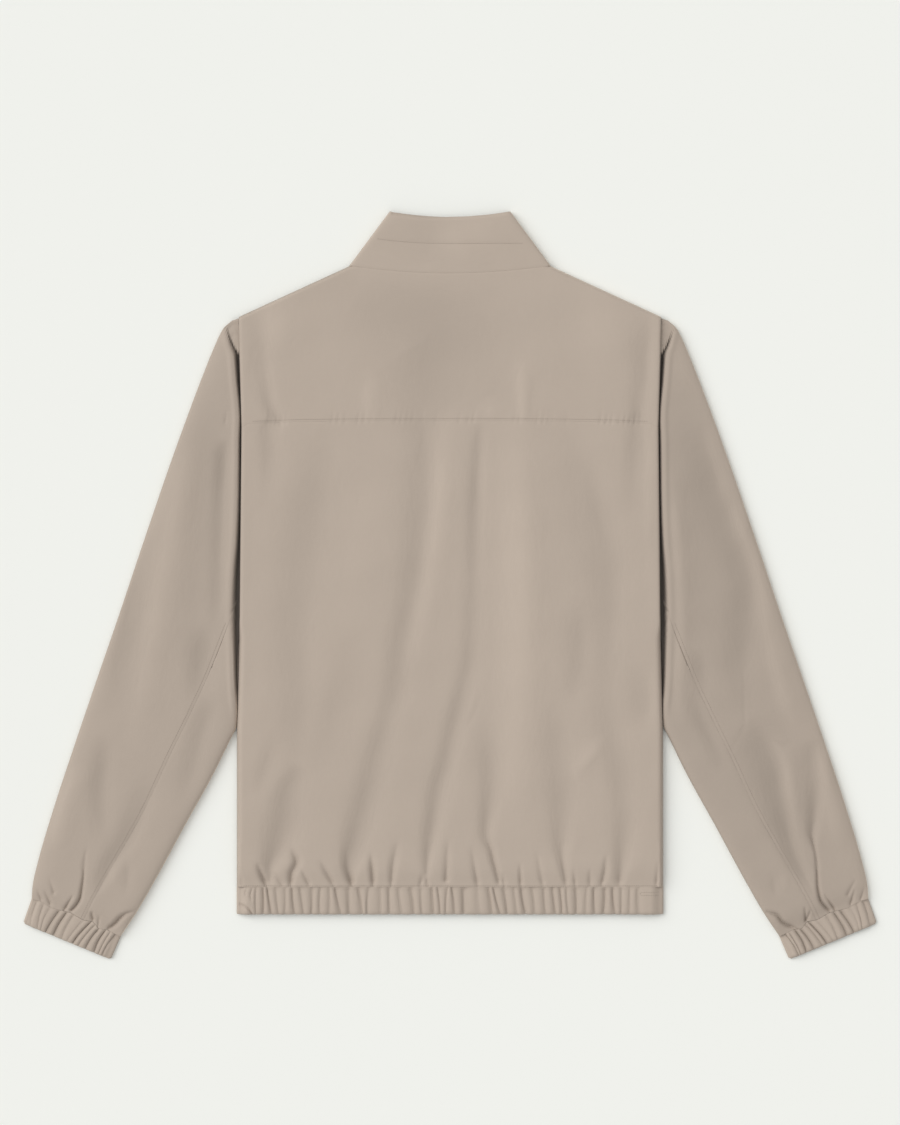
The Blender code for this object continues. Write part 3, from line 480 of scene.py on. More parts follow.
# The folds' depths are scaled by these, after they were drawn.
BACK_FOLD_SCALE = 0.8
SLEEVE_FOLD_SCALE = 0.9
YOKE_PUCKER_SCALE = 0.75
PUCKER_HALF_WIDTH = 1.7
PUCKER_LEAN = 0.15
PUCKER_BELOW_SEAM = 0.45
# A slow swell of all the cloth: its height, and the pitch in each part.
SWELL = 0.35
BACK_SWELL_PITCH = 95.0
SLEEVE_SWELL_PITCH = 80.0
COLLAR_SWELL = 0.25
COLLAR_SWELL_PITCH = 60.0

# The back is calmer at its sides and neck, and its folds fade out at the hem seam.
SIDE_CALM_INSET = 3.0
SIDE_CALM_REACH = 12.0
SIDE_FOLD_SHARE = 0.35
NECK_CALM_HALF_WIDTH = 96.0
NECK_CALM_REACH = 16.0
NECK_BLEND = 10.0
HEM_FOLD_SHARE = 0.40
HEM_FADE_REACH = 7.0
# It climbs from the hem band with some fullness above it, and comes down to the collar.
BACK_OVER_HEM = 0.2
HEM_CLIMB = 30.0
HEM_FULLNESS = 1.0
HEM_FULLNESS_AT = 15.0
HEM_FULLNESS_REACH = 11.0
BACK_OVER_COLLAR = 0.3
COLLAR_CLIMB = 22.0
# Share of the columns of each half of the back that lie on its rolled side.
ROLL_COLUMN_SHARE = 0.05

# The fronts repeat the back's folds and puckers faintly, except near the zip and the sides.
FRONT_FOLD_SHARE = 0.2
FRONT_PUCKER_SHARE = 0.3
FRONT_RISE = 1.6
FRONT_ZIP_CALM = 8.0
FRONT_SIDE_CALM = 12.0

# A sleeve rounds down to its outer and inner folds, less so at the inner one beside the gap.
SLEEVE_OUTER_ROUND = 6.0
SLEEVE_INNER_ROUND = 4.0
GAP_ROUND_LESS = 0.6
SLEEVE_EDGE_FOLD_SHARE = 0.3
SLEEVE_CROWN_GAIN = 1.3
SLEEVE_CLEARANCE = 0.9
SLEEVE_UNDER_SHARE = 0.2
SLEEVE_UNDER_RISE = 1.4
FOLD_RADIUS_SHARE = 0.4
# It climbs from the cuff with some fullness above it.
SLEEVE_OVER_CUFF = 0.1
CUFF_CLIMB = 26.0
CUFF_FULLNESS = 0.9
CUFF_FULLNESS_AT = 13.0
CUFF_FULLNESS_REACH = 9.0
CUFF_FOLD_SHARE = 0.45
CUFF_FADE_REACH = 5.0
# The gap beside the body: how far in from its outer end the cloth starts to rise to the sleeve,
# the low lip that it rises to, and how the gap ends at the underarm. The HEAD_ values hold above
# HEAD_START_Y.
GAP_START = 4.0
HEAD_GAP_START = 1.2
HEAD_RISE_REACH = 1.5
HEAD_START_Y = 243.0
HEAD_LENGTH = 24.0
GAP_LIP = 0.8
GAP_LIP_AT = 3.0
GAP_LIP_REACH = 2.6
GAP_END_INSET = 20.0
GAP_END_REACH = 30.0
# The sleeve's tuck under the back: where it ends above, its two ends, and how soon it sets in.
HEAD_TUCK_TOP_Y = 272.0
HEAD_TUCK_ENDS = -0.45
HEAD_TUCK_LOW_REACH = 24.0
HEAD_TUCK_HIGH_REACH = 18.0
UNDERARM_EASE = 2.0
# The back seam of a sleeve: a groove, and a shallower one beside it where its welt ends.
BACK_SEAM_START = 20.0
BACK_SEAM_REACH = 30.0
BACK_SEAM_DIP = 0.28
BACK_SEAM_WIDTH = 1.3
BACK_WELT_DIP = 0.04
BACK_WELT_AT = 2.8
BACK_WELT_WIDTH = 0.9

# Gathered bands: how sharply the ribs meet, how far the open edge turns down, and the folds.
HEM_RIB_POWER = 3.0
CUFF_RIB_POWER = 4.0
UNDER_RIB_POWER = 2.0
GATHER_SEAM_REACH = 0.12
GATHER_EDGE_REACH = 0.1
HEM_GATHER_ENDS = (0.4, 0.6)
CUFF_GATHER_ENDS = (0.45, 0.65)
HEM_EDGE_DROP = 1.4
CUFF_EDGE_DROP = 1.2
BAND_EDGE_REACH = 0.05
HEM_FOLD_RADIUS = 3.0
CUFF_FOLD_RADIUS = 2.6
CUFF_HEIGHT = 26.0
# The hem band's back: how its ribs bow, how it calms and sinks at its ends, how it bulges, and
# how its open edge waves. Then its front, where the ribs are faint.
HEM_BOW = 0.9
HEM_END_INSET = 8.0
HEM_END_REACH = 14.0
HEM_END_LEVEL = 0.55
HEM_CROWN_REACH = 8.0
HEM_BULGE = 0.5
HEM_EDGE_WAVE = 0.5
HEM_EDGE_WAVE_AT = 0.4
HEM_FRONT_SHIFT = 4.0
HEM_FRONT_START_X = 26.0
HEM_FRONT_INSET = 10.0
HEM_FRONT_REACH = 8.0
HEM_FRONT_DEPTH = 0.9
# The cuffs: the same, with corners drawn in towards the open edge.
CUFF_BOW = 0.5
CUFF_DRIFT = -1.2
RIGHT_CUFF_SHIFT = 0.8
CUFF_CORNER = 2.0
CUFF_CORNER_START = 0.93
CUFF_END_REACH = 3.0
CUFF_END_LEVEL = 0.62
CUFF_CROWN_REACH = 7.0
CUFF_UNDER_DEPTH = 0.8
CUFF_UNDER_REACH = 6.0
# The collar: its rounded sides and open edge, its calm strip at the neck, and how its front
# layer climbs over the zip.
COLLAR_EDGE_DROP = 1.4
COLLAR_EDGE_REACH = 0.03
COLLAR_SIDE_ROUND = 3.0
COLLAR_CALM_SHARE = 0.2
ZIP_COVER_HALF_WIDTH = 30.0
ZIP_COVER_REACH = 20.0
ZIP_COVER_LEVEL = 2.2

# How finely the pieces are divided. Columns over the upper layer, round the fold and back.
UPPER_SLEEVE_COLUMNS = (77, 7, 36)
UNDER_SLEEVE_COLUMNS = (45, 7, 36)
COLLAR_COLUMNS = (85, 8, 46)
UPPER_SLEEVE_ROWS = 200
UNDER_SLEEVE_ROWS = 110
SLEEVE_FINE_ROWS = 38
LINE_POINTS = 4
BACK_SPANS = 172
BACK_ROW_STEP = 2.8
FINE_BAND = 46.0
FINE_STEP = 1.25
YOKE_ROW_COUNT = 56
SHOULDER_ROW_COUNT = 11
FRONT_COLUMNS = 61
HEM_COLUMNS_PER_RIB = 7
HEM_FRONT_COLUMNS = 150
CUFF_COLUMNS_PER_RIB = 11
CUFF_UNDER_COLUMNS = 70
BAND_FOLD_ANGLES = np.linspace(0.0, math.pi, 10)[1:-1]
# Rows by their distance from a seam, and where the even rows of the back body start and end.
HEM_SEAM_ROWS = (0.0, SEAM_ROW, 0.95)
HEM_FINE_START = 1.8
YOKE_SEAM_ROWS = (SEAM_GAP / 2, 0.2, 1.2, 2.2, 3.6)
YOKE_ROWS = (5.2, 7.0, 9.0, 11.2, 13.6)
BODY_ROWS_TOP_Y = 163.0
BODY_ROWS_MARGIN = 5.0
# Rows by their share of the way across a piece.
FRONT_ROW_SHARES = np.concatenate([np.linspace(0.0, 0.1, 18), np.linspace(0.1, 1.0, 110)[1:]])
BAND_SHARES = np.concatenate([
    [0.0, 0.006, 0.035, 0.06], np.linspace(0.1, 0.93, 18), [0.96, 0.98, 1.0]])
COLLAR_SHARES = np.concatenate([
    [0.0, 0.007, 0.016, 0.028], np.linspace(0.045, 0.95, 44), [0.97, 0.985, 1.0]])

# The stage. The floor is in metres. Each lamp has its direction, strength and spread in degrees.
FLOOR_HALF_WIDTH = 60.0
ROOM_LIGHT = 0.44
LAMPS = (
    ("key", (-0.70, 0.35, 0.62), 1.82, 50.0),
    ("top", (0.1, 0.0, 1.0), 0.63, 90.0),
)
# The camera, in metres and millimetres of lens.
FRAME_HEIGHT = 1.174
VIEW_CENTRE_Y = 0.024
CAMERA_LENS = 100.0
SENSOR = 36.0


# --- helpers for forms


def soft_step(value):
    """0 below 0, 1 above 1, and a smooth ramp between."""
    clipped = np.clip(value, 0.0, 1.0)
    return clipped * clipped * (3.0 - 2.0 * clipped)


def between(low, high, share):
    """The value at a share of the way from low to high."""
    return low + (high - low) * share


def hump(value, centre, width):
    """1 at the centre, and less and less to both sides."""
    return np.exp(-((value - centre) / width) ** 2)


def both_ends(places, low, high, width):
    """0 at both ends of a stretch, and 1 from a width inside them."""
    return soft_step((places - low) / width) * soft_step((high - places) / width)


def table_value(table, places):
    """Values read off a table of place and value."""
    keys, values = zip(*table)
    return np.interp(places, keys, values)


def smooth_curve(points, places):
    """Values on a smooth curve through the points, at places from 0 at its start to 1.

    A point may be a place with its depth and widths, or a whole row of places.
    """
    points = np.array(points, dtype=float)
    flat = points.reshape(len(points), -1)
    steps = np.linalg.norm(np.diff(flat[:, :2], axis=0), axis=1)
    knots = np.concatenate([[0.0], np.cumsum(steps)])
    slopes = np.gradient(flat, knots, axis=0)
    place = np.asarray(places, dtype=float) * knots[-1]
    span = np.clip(np.searchsorted(knots, place, side="right") - 1, 0, len(knots) - 2)
    width = (knots[span + 1] - knots[span])[:, None]
    t = (place - knots[span])[:, None] / width
    start, end = flat[span], flat[span + 1]
    values = ((1 + 2 * t) * (1 - t) ** 2 * start + t * t * (3 - 2 * t) * end
              + width * (t * (1 - t) ** 2 * slopes[span] - t * t * (1 - t) * slopes[span + 1]))
    return values.reshape((len(place),) + points.shape[1:])


def line_through(points):
    """A smooth line through the points, as closely set points of its own."""
    return smooth_curve(points, np.linspace(0.0, 1.0, LINE_POINTS * len(points)))


def near_line(x, y, line, reach):
    """Which places lie within reach of a line, how far to its right they lie as seen from
    above with the line drawn down, and the values of the line's further columns there."""
    near = ((x > line[:, 0].min() - reach) & (x < line[:, 0].max() + reach)
            & (y > line[:, 1].min() - reach) & (y < line[:, 1].max() + reach))
    px, py = x[near], y[near]
    best = np.full(px.shape, np.inf)
    side = np.ones(px.shape)
    values = np.zeros(px.shape + (line.shape[1] - 2,))
    for start, end in zip(line[:-1], line[1:]):
        run = end - start
        off_x, off_y = px - start[0], py - start[1]
        share = np.clip((off_x * run[0] + off_y * run[1]) / (run[0] ** 2 + run[1] ** 2), 0.0, 1.0)
        gap = (off_x - share * run[0]) ** 2 + (off_y - share * run[1]) ** 2
        closer = gap < best
        best = np.where(closer, gap, best)
        side = np.where(closer, np.sign(run[0] * off_y - run[1] * off_x), side)
        values[closer] = start[2:] + share[closer, None] * run[2:]
    return near, side * np.sqrt(best), values


class Folds:
    """Folds of the cloth, drawn once as smooth lines from a table of places."""

    # A narrow trough is partly a sharp crease: the crease's share of its depth and of its width.
    SHARP_SHARE = 0.35
    SHARP_WIDTH = 0.42
    NARROW = 3.0
    # A wide fold runs out further on its right.
    WIDE = 4.0
    WIDE_STRETCH = 1.3
    RAMP = 5.0
    # How many widths away from its line a fold is still worked out.
    REACH = 2.6

    def __init__(self, table, scale=1.0):
        self.scale = scale
        self.lines = []
        for fold in table:
            places = [row if len(row) == 5 else row + row[3:] for row in fold]
            self.lines.append(line_through(places))

    def depth(self, x, y):
        """How deep the folds lie at each place: below 0 on a ridge."""
        total = np.zeros(x.shape)
        for line in self.lines:
            near, across, values = near_line(x, y, line, self.REACH * line[:, 3:].max())
            deep, left, right = values.T
            wide = soft_step((right - self.WIDE) / self.RAMP)
            right = right * between(1.0, self.WIDE_STRETCH, wide)
            width = np.where(across > 0.0, right, left)
            soft = hump(across, 0.0, width)
            crease = hump(across, 0.0, width * self.SHARP_WIDTH)
            narrow = 1.0 - soft_step((width - self.NARROW) / self.RAMP)
            total[near] += deep * between(soft, crease, self.SHARP_SHARE * narrow * (deep > 0.0))
        return total * self.scale


def distance(x, y, points):
    """Distance of each place from a line through the points."""
    everywhere = 1e4
    return np.abs(near_line(x, y, line_through(points), everywhere)[1]).reshape(x.shape)


def ripple(x, y, pitch, seed):
    """A soft uneven swell of the cloth, from -1 to 1."""
    angles = seed * 1.7 + np.array([0.3, 1.4, 2.5, 3.3, 4.6])
    stretch = np.array([1.0, 1.37, 0.72, 1.81, 1.12])
    total = np.zeros(x.shape)
    for angle, factor in zip(angles, stretch):
        along = x * math.cos(angle) + y * math.sin(angle)
        total += np.sin(2 * math.pi * along * factor / pitch + 5.1 * angle)
    return total / 3.0


def add_midpoints(row):
    """A row with one more point between every two."""
    finer = np.empty((2 * len(row) - 1,) + row.shape[1:])
    finer[::2] = row
    finer[1::2] = (row[:-1] + row[1:]) / 2
    return finer


BACK_RELIEF = Folds(BACK_FOLDS, BACK_FOLD_SCALE)
HEM_RELIEF = Folds(HEM_PUCKERS)
BAND_RELIEF = Folds(HEM_FOLDS)
COLLAR_RELIEF = Folds(COLLAR_FOLDS)
HEAD_RELIEF = Folds(HEAD_PUCKERS)
SLEEVE_RELIEF = {label: Folds(table, SLEEVE_FOLD_SCALE) for label, table in SLEEVE_FOLDS.items()}


# --- shapes of the cut


def body_half_width(y):
    return table_value(BODY_HALF_WIDTHS, y)


def neck_y(x, dip, power):
    share = np.minimum(np.abs(x) / NECK_HALF_WIDTH, 1.0)
    return NECK_CORNER_Y - dip * (1.0 - share ** power)


def back_neck_y(x):
    return neck_y(x, BACK_NECK_DIP, 2.0)


def front_neck_y(x):
    return neck_y(x, FRONT_NECK_DIP, 2.4)


def shoulder_y(x):
    run = (np.abs(x) - NECK_HALF_WIDTH) / (SHOULDER_HALF_WIDTH - NECK_HALF_WIDTH)
    return between(NECK_CORNER_Y, SHOULDER_Y, run)


def back_top_y(x):
    return np.where(np.abs(x) < NECK_HALF_WIDTH, back_neck_y(x), shoulder_y(x))


def yoke_seam_y(x):
    return table_value(YOKE_SEAM, np.abs(x))


def side_closed(y):
    """1 where the body's side is sewn shut, 0 along the armhole."""
    return soft_step((ARMHOLE_END_Y - y) / (ARMHOLE_END_Y - UNDERARM_Y))


def gap_x(y):
    """Where the gap beside the body ends at a height."""
    line = smooth_curve(ARMHOLE_GAP, np.linspace(0.0, 1.0, 90))[::-1]
    return np.interp(y, line[:, 1], line[:, 0])


def past_neck(x):
    """0 beside the neck, 1 along the shoulder, and a soft change at the neck's corner."""
    return soft_step((np.abs(x) - NECK_HALF_WIDTH + NECK_BLEND / 2) / NECK_BLEND)


def seam_dip(away):
    """How far an edge turns down beside its seam."""
    return SEAM_DIP * np.exp(-(away / SEAM_DIP_REACH) ** 2)


def wandered(points):
    """Places of a sleeve or cuff, x and y as on the right, moved with the uneven cuff seam."""
    start, end = (np.array(corner) for corner in CUFF_SEAM)
    width = np.linalg.norm(end - start)
    along = (end - start) / width
    up = np.array([along[1], -along[0]])
    up = up * np.sign(up[1])
    off = points - start
    share = off @ along / width
    shift = table_value(CUFF_WANDER, share) * np.exp(-((off @ up) / WANDER_REACH) ** 2)
    return points + shift[:, None] * up


def yoke_puckers(x, y):
    """Short puckers on both sides of the yoke seam."""
    depth = np.zeros(x.shape)
    away = y - yoke_seam_y(x)
    for place, length, strength in YOKE_PUCKERS:
        along = np.where(away > 0, away / length, away / (PUCKER_BELOW_SEAM * length))
        across = (x - place - PUCKER_LEAN * away) / PUCKER_HALF_WIDTH
        depth += strength * np.exp(-across ** 2 - along ** 2)
    return YOKE_PUCKER_SCALE * depth


def back_level(x, y):
    """Height of the back's cloth before its edges roll down, and the painted shade of its folds, painted
    light on its ridges.
    """
    inner = soft_step((body_half_width(y) - SIDE_CALM_INSET - np.abs(x)) / SIDE_CALM_REACH)
    from_hem = y - HEM_SEAM_Y
    beyond_neck = np.maximum(np.abs(x) - NECK_CALM_HALF_WIDTH, 0.0)
    from_neck = np.hypot(beyond_neck, back_neck_y(x) - y)
    calm = 1.0 - hump(from_neck, 0.0, NECK_CALM_REACH)
    fade = between(HEM_FOLD_SHARE, 1.0, soft_step(from_hem / HEM_FADE_REACH))
    folds = BACK_RELIEF.depth(x, y) * between(SIDE_FOLD_SHARE, 1.0, inner) * calm
    depth = (folds + HEM_RELIEF.depth(x, y)) * fade + yoke_puckers(x, y)
    level = between(HEM_LEVEL + BACK_OVER_HEM, BACK_LEVEL, soft_step(from_hem / HEM_CLIMB))
    level = level + HEM_FULLNESS * hump(from_hem, HEM_FULLNESS_AT, HEM_FULLNESS_REACH)
    to_collar = COLLAR_LEVEL + BACK_OVER_COLLAR - BACK_LEVEL
    level = level + to_collar * hump(from_neck, 0.0, COLLAR_CLIMB)
    swell = SWELL * ripple(x, y, BACK_SWELL_PITCH, 1.0) * inner * calm
    dip = YOKE_DIP_SHARE * seam_dip(y - yoke_seam_y(x)) + BAND_DIP_SHARE * seam_dip(from_hem)
    return level + swell - depth - dip, -FOLD_PAINTED_SHADE_AND_LIGHT * depth


# --- meshes


def make_piece(name, points, faces, finish):
    """An object from points in millimetres."""
    mesh = bpy.data.meshes.new(name)
    mesh.from_pydata((np.asarray(points) * MM).tolist(), [], faces)
    mesh.materials.append(finish)
    mesh.shade_smooth()
    piece = bpy.data.objects.new(name, mesh)
    bpy.context.scene.collection.objects.link(piece)
    return piece


def row_faces(low, lower, high, upper, ring):
    """Faces between two rows that start at the points low and high.

    They have lower and upper points. One may have twice the spans of the other.
    """
    if lower == upper:
        first = np.arange(lower if ring else lower - 1)
        after = (first + 1) % lower
        corners = (low + first, low + after, high + after, high + first)
    elif lower < upper:
        first = np.arange(lower - 1)
        corners = (low + first, low + first + 1, high + 2 * first + 2, high + 2 * first + 1,
                   high + 2 * first)
    else:
        first = np.arange(upper - 1)
        corners = (low + 2 * first, low + 2 * first + 1, low + 2 * first + 2,
                   high + first + 1, high + first)
    return np.stack(corners, axis=1).tolist()


def cloth_places(rows, tones):
    """Each point's place on the flat cloth in metres, for the weave, and its painted light and shade."""
    places = []
    length = 0.0
    before = None
    for row, tone in zip(rows, tones):
        along = np.concatenate([[0.0], np.cumsum(np.linalg.norm(np.diff(row, axis=0), axis=1))])
        middle = row[len(row) // 2]
        if before is not None:
            length += float(np.linalg.norm(middle - before))
        before = middle
        places.append(np.stack([(along - along[len(row) // 2]) * MM,
                                np.full(len(row), length * MM), tone], axis=1))
    return np.concatenate(places)


def cloth_piece(name, rows, tones, wall, finish, ring=False):
    """A cut piece from its rows of points, thickened evenly to both sides."""
    starts = np.cumsum([0] + [len(row) for row in rows])
    faces = []
    for line in range(len(rows) - 1):
        faces += row_faces(starts[line], len(rows[line]), starts[line + 1], len(rows[line + 1]), ring)
    piece = make_piece(name, np.concatenate(rows), faces, finish)
    cloth = piece.data.attributes.new("cloth", "FLOAT_VECTOR", "POINT")
    cloth.data.foreach_set("vector", cloth_places(rows, tones).astype(np.float32).ravel())
    solidify = piece.modifiers.new("Wall", "SOLIDIFY")
    solidify.thickness = wall * MM
    solidify.offset = 0.0
    return piece


def declare(piece, node):
    """The piece stands for its node, whose part it hides, and rides on the jacket."""
    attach(piece, "jacket")
    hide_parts(node)


def lofted(key_rows, places):
    """Rows on smooth curves through the key rows."""
    keys = np.array(key_rows)
    middle = keys[:, keys.shape[1] // 3, :2]
    order = np.concatenate([middle[:, None, :], keys[:, :, :2]], axis=1)
    turns = keys[0, :, 2]
    rows = smooth_curve(order, places)[:, 1:, :]
    return [np.column_stack([row, turns]) for row in rows]


def split_rows(values, rows):
    """Values of a whole piece, one array for each of its rows again."""
    return np.split(values, np.cumsum([len(row) for row in rows])[:-1])


def wrap(start, edge, end, counts):
    """Across a flattened piece: over the upper layer, round the fold at its edge, and back.

    Each point is x, y and its turn: 0 on the upper layer, 1 on the lower one.
    """
    start, edge, end = (np.array(point, dtype=float) for point in (start, edge, end))
    outward = (edge - start) / np.linalg.norm(edge - start)
    radius = min(FOLD_RADIUS, FOLD_RADIUS_SHARE * np.linalg.norm(edge - start))
    centre = edge - outward * radius
    over_count, fold_count, under_count = counts
    shares = np.linspace(0.0, 1.0, over_count)
    shares[1] *= FIRST_COLUMN_SHARE
    over = between(start, centre, shares[:, None])
    angles = np.linspace(0.0, math.pi, fold_count + 2)[1:-1]
    fold = centre + outward * radius * np.sin(angles)[:, None]
    under = between(centre, end, np.linspace(0.0, 1.0, under_count)[:, None])
    turns = np.concatenate([np.zeros(over_count), angles / math.pi, np.ones(under_count)])
    return np.column_stack([np.concatenate([over, fold, under]), turns])


def round_fold(upper, lower, turn):
    """Height on the way round a fold."""
    return between(upper, lower, (1.0 - np.cos(math.pi * turn)) / 2)


# --- the back


def across_back(y, spans):
    """Places across the back at each height: x, and the share of the drop at its edge."""
    roll = between(OPEN_ROLL, SIDE_ROLL, side_closed(y))
    half = body_half_width(y)
    t = np.linspace(-1.0, 1.0, spans + 1)
    inside = (half - roll) * t / (1.0 - ROLL_COLUMN_SHARE)
    turned = 1.0 - np.clip((1.0 - np.abs(t)) / ROLL_COLUMN_SHARE, 0.0, 1.0)
    angle = turned * math.pi / 2
    rolled = np.sign(t) * (half - roll + roll * np.sin(angle))
    outer = np.abs(t) > 1.0 - ROLL_COLUMN_SHARE
    return np.where(outer, rolled, inside), np.where(outer, 1.0 - np.cos(angle), 0.0)


def back_row(heights, spans):
    """One row across the back: x, y, and the shares of the drop at its side and shoulder.

    The function heights gives y for an x.
    """
    x, drop = across_back(float(heights(SHOULDER_HALF_WIDTH)), spans)
    return np.stack([x, heights(x), drop, np.zeros(spans + 1)], axis=1)


def level_row(y, spans):
    return back_row(lambda x: np.full(np.shape(x), y), spans)


def seam_row(away):
    """A row that follows the yoke seam at a distance above it, or below it where away is below 0."""
    return back_row(lambda x: yoke_seam_y(x) + away, 2 * BACK_SPANS)


def back_piece(name, rows, finish):
    """A panel of the back from its rows, with its heights worked out all at once."""
    x, y, side_drop, top_drop = np.concatenate(rows).T
    level, tone = back_level(x, y)
    level = level - seam_dip(back_neck_y(x) - y) * (1.0 - past_neck(x))
    rim = between(ARMHOLE_RIM, CLOSED_RIM, side_closed(y))
    z = between(between(level, rim, side_drop), CLOSED_RIM, top_drop)
    # Painted light round the right shoulder's rolled edge, painted shade round the left one, down the
    # rolled sides and in the folds.
    shoulder = np.where(x > 0.0, EDGE_PAINTED_LIGHT_AND_SHADE[1], -SHOULDER_PAINTED_SHADE) * top_drop
    tone = tone - ROLL_PAINTED_SHADE * side_drop + shoulder
    points = split_rows(np.stack([x, y, z], axis=1), rows)
    return cloth_piece(name, points, split_rows(tone, rows), SHELL_WALL, finish)


def body_rows():
    """Rows of the back body from the hem seam up to the yoke seam."""
    low = HEM_SEAM_Y + SEAM_GAP / 2
    start = HEM_SEAM_Y + FINE_BAND
    beside_hem = [low + away for away in HEM_SEAM_ROWS]
    places = np.concatenate([beside_hem, np.arange(low + HEM_FINE_START, start, FINE_STEP)])
    rows = [level_row(y, 2 * BACK_SPANS) for y in places]
    count = int((BODY_ROWS_TOP_Y - start) / BACK_ROW_STEP)
    for share in np.linspace(0.0, 1.0, count):
        rows.append(back_row(
            lambda x: between(start, yoke_seam_y(x) - BODY_ROWS_MARGIN, share), BACK_SPANS))
    return rows + [seam_row(-away) for away in reversed(YOKE_SEAM_ROWS)]


def yoke_rows():
    """Rows of the yoke from its seam up, the last of them round the edge of the shoulders."""
    rows = [seam_row(away) for away in YOKE_SEAM_ROWS + YOKE_ROWS]
    slope = math.atan2(NECK_CORNER_Y - SHOULDER_Y, SHOULDER_HALF_WIDTH - NECK_HALF_WIDTH)
    margin = SHOULDER_ROLL / math.cos(slope)
    for share in np.linspace(0.0, 1.0, YOKE_ROW_COUNT)[1:]:
        rows.append(back_row(
            lambda x: between(yoke_seam_y(x) + YOKE_ROWS[-1], back_top_y(x) - margin, share),
            BACK_SPANS))
    x, _, side_drop, _ = rows[-1].T
    shoulder = past_neck(x)
    for angle in np.linspace(0.0, math.pi / 2, SHOULDER_ROW_COUNT)[1:]:
        rolled = margin * (1.0 - math.sin(angle))
        flat = margin * (1.0 - angle / (math.pi / 2))
        inset = between(flat, rolled, shoulder) + SEAM_GAP / 2 * (1.0 - shoulder)
        top_drop = (1.0 - math.cos(angle)) * shoulder
        rows.append(np.stack([x, back_top_y(x) - inset, side_drop, top_drop], axis=1))
    return rows


def build_back(finish):
    body = back_piece("back_panel", body_rows(), finish)
    declare(body, "back_body")
    yoke = back_piece("back_yoke_panel", yoke_rows(), finish)
    declare(yoke, "back_yoke")
    return body, yoke


# --- the fronts


def build_fronts(finish):
    """The fronts lie flat on the surface, with shallow creases that rise into the jacket."""
    made = []
    low = HEM_SEAM_Y + SEAM_GAP / 2
    across = np.linspace(FRONT_EDGE_X, SHOULDER_HALF_WIDTH - SEAM_GAP / 2, FRONT_COLUMNS)
    top = np.where(across < NECK_HALF_WIDTH, front_neck_y(across) - SEAM_GAP / 2, shoulder_y(across))
    spread = (across - FRONT_EDGE_X) / (across[-1] - FRONT_EDGE_X)
    edge = (soft_step((across - FRONT_EDGE_X) / FRONT_ZIP_CALM)
            * soft_step((SHOULDER_HALF_WIDTH - FRONT_SIDE_CALM - across) / FRONT_SIDE_CALM))
    for label, side in SIDES:
        y = between(low, top, FRONT_ROW_SHARES[:, None])
        x = side * between(FRONT_EDGE_X, body_half_width(y) - SEAM_GAP / 2, spread)
        depth = (FRONT_FOLD_SHARE * BACK_RELIEF.depth(x, y)
                 + FRONT_PUCKER_SHARE * HEM_RELIEF.depth(x, y))
        rise = np.clip(depth, 0.0, FRONT_RISE) * edge
        points = np.stack([x, y, GROUND_LEVEL + rise], axis=2)
        # Painted shade in the creases.
        tones = list(-FRONT_PAINTED_SHADE * rise)
        piece = cloth_piece("front_panel_" + label, list(points), tones, SHELL_WALL, finish)
        declare(piece, "front_" + label)
        made.append(piece)
    return made


# --- sleeves


def fold_beside_body(x, y):
    """Where the underarm fold lies: at x, but never over the body."""
    return max(x, float(body_half_width(y)) + BESIDE_BODY)


def sleeve_outer_line():
    return [row[:2] for row in SLEEVE_HEAD_ROWS + SLEEVE_ARM_ROWS]


def sleeve_inner_line():
    return [(fold_beside_body(row[4], row[5]), row[5]) for row in SLEEVE_ARM_ROWS[1:]]


def gap_level(x, y, main):
    """Height beside the body, where the sleeve drops into the gap, and the share of the gap's painted shade
    there.
    """
    outside = x - gap_x(y)
    head = soft_step((y - HEAD_START_Y) / HEAD_LENGTH)
    start = between(GAP_START, HEAD_GAP_START, head)
    rise = soft_step((outside + start) / between(GAP_RISE_REACH, HEAD_RISE_REACH, head))
    lip = GAP_LIP * hump(outside, GAP_LIP_AT, GAP_LIP_REACH)
    plateau = soft_step(table_value(HEAD_CORNER, y) - x + 0.5)
    slot = between(GAP_FLOOR, HEAD_LEVEL - HEAD_RELIEF.depth(x, y), plateau)
    return between(slot, main + lip, rise), (1.0 - rise) * (1.0 - plateau)


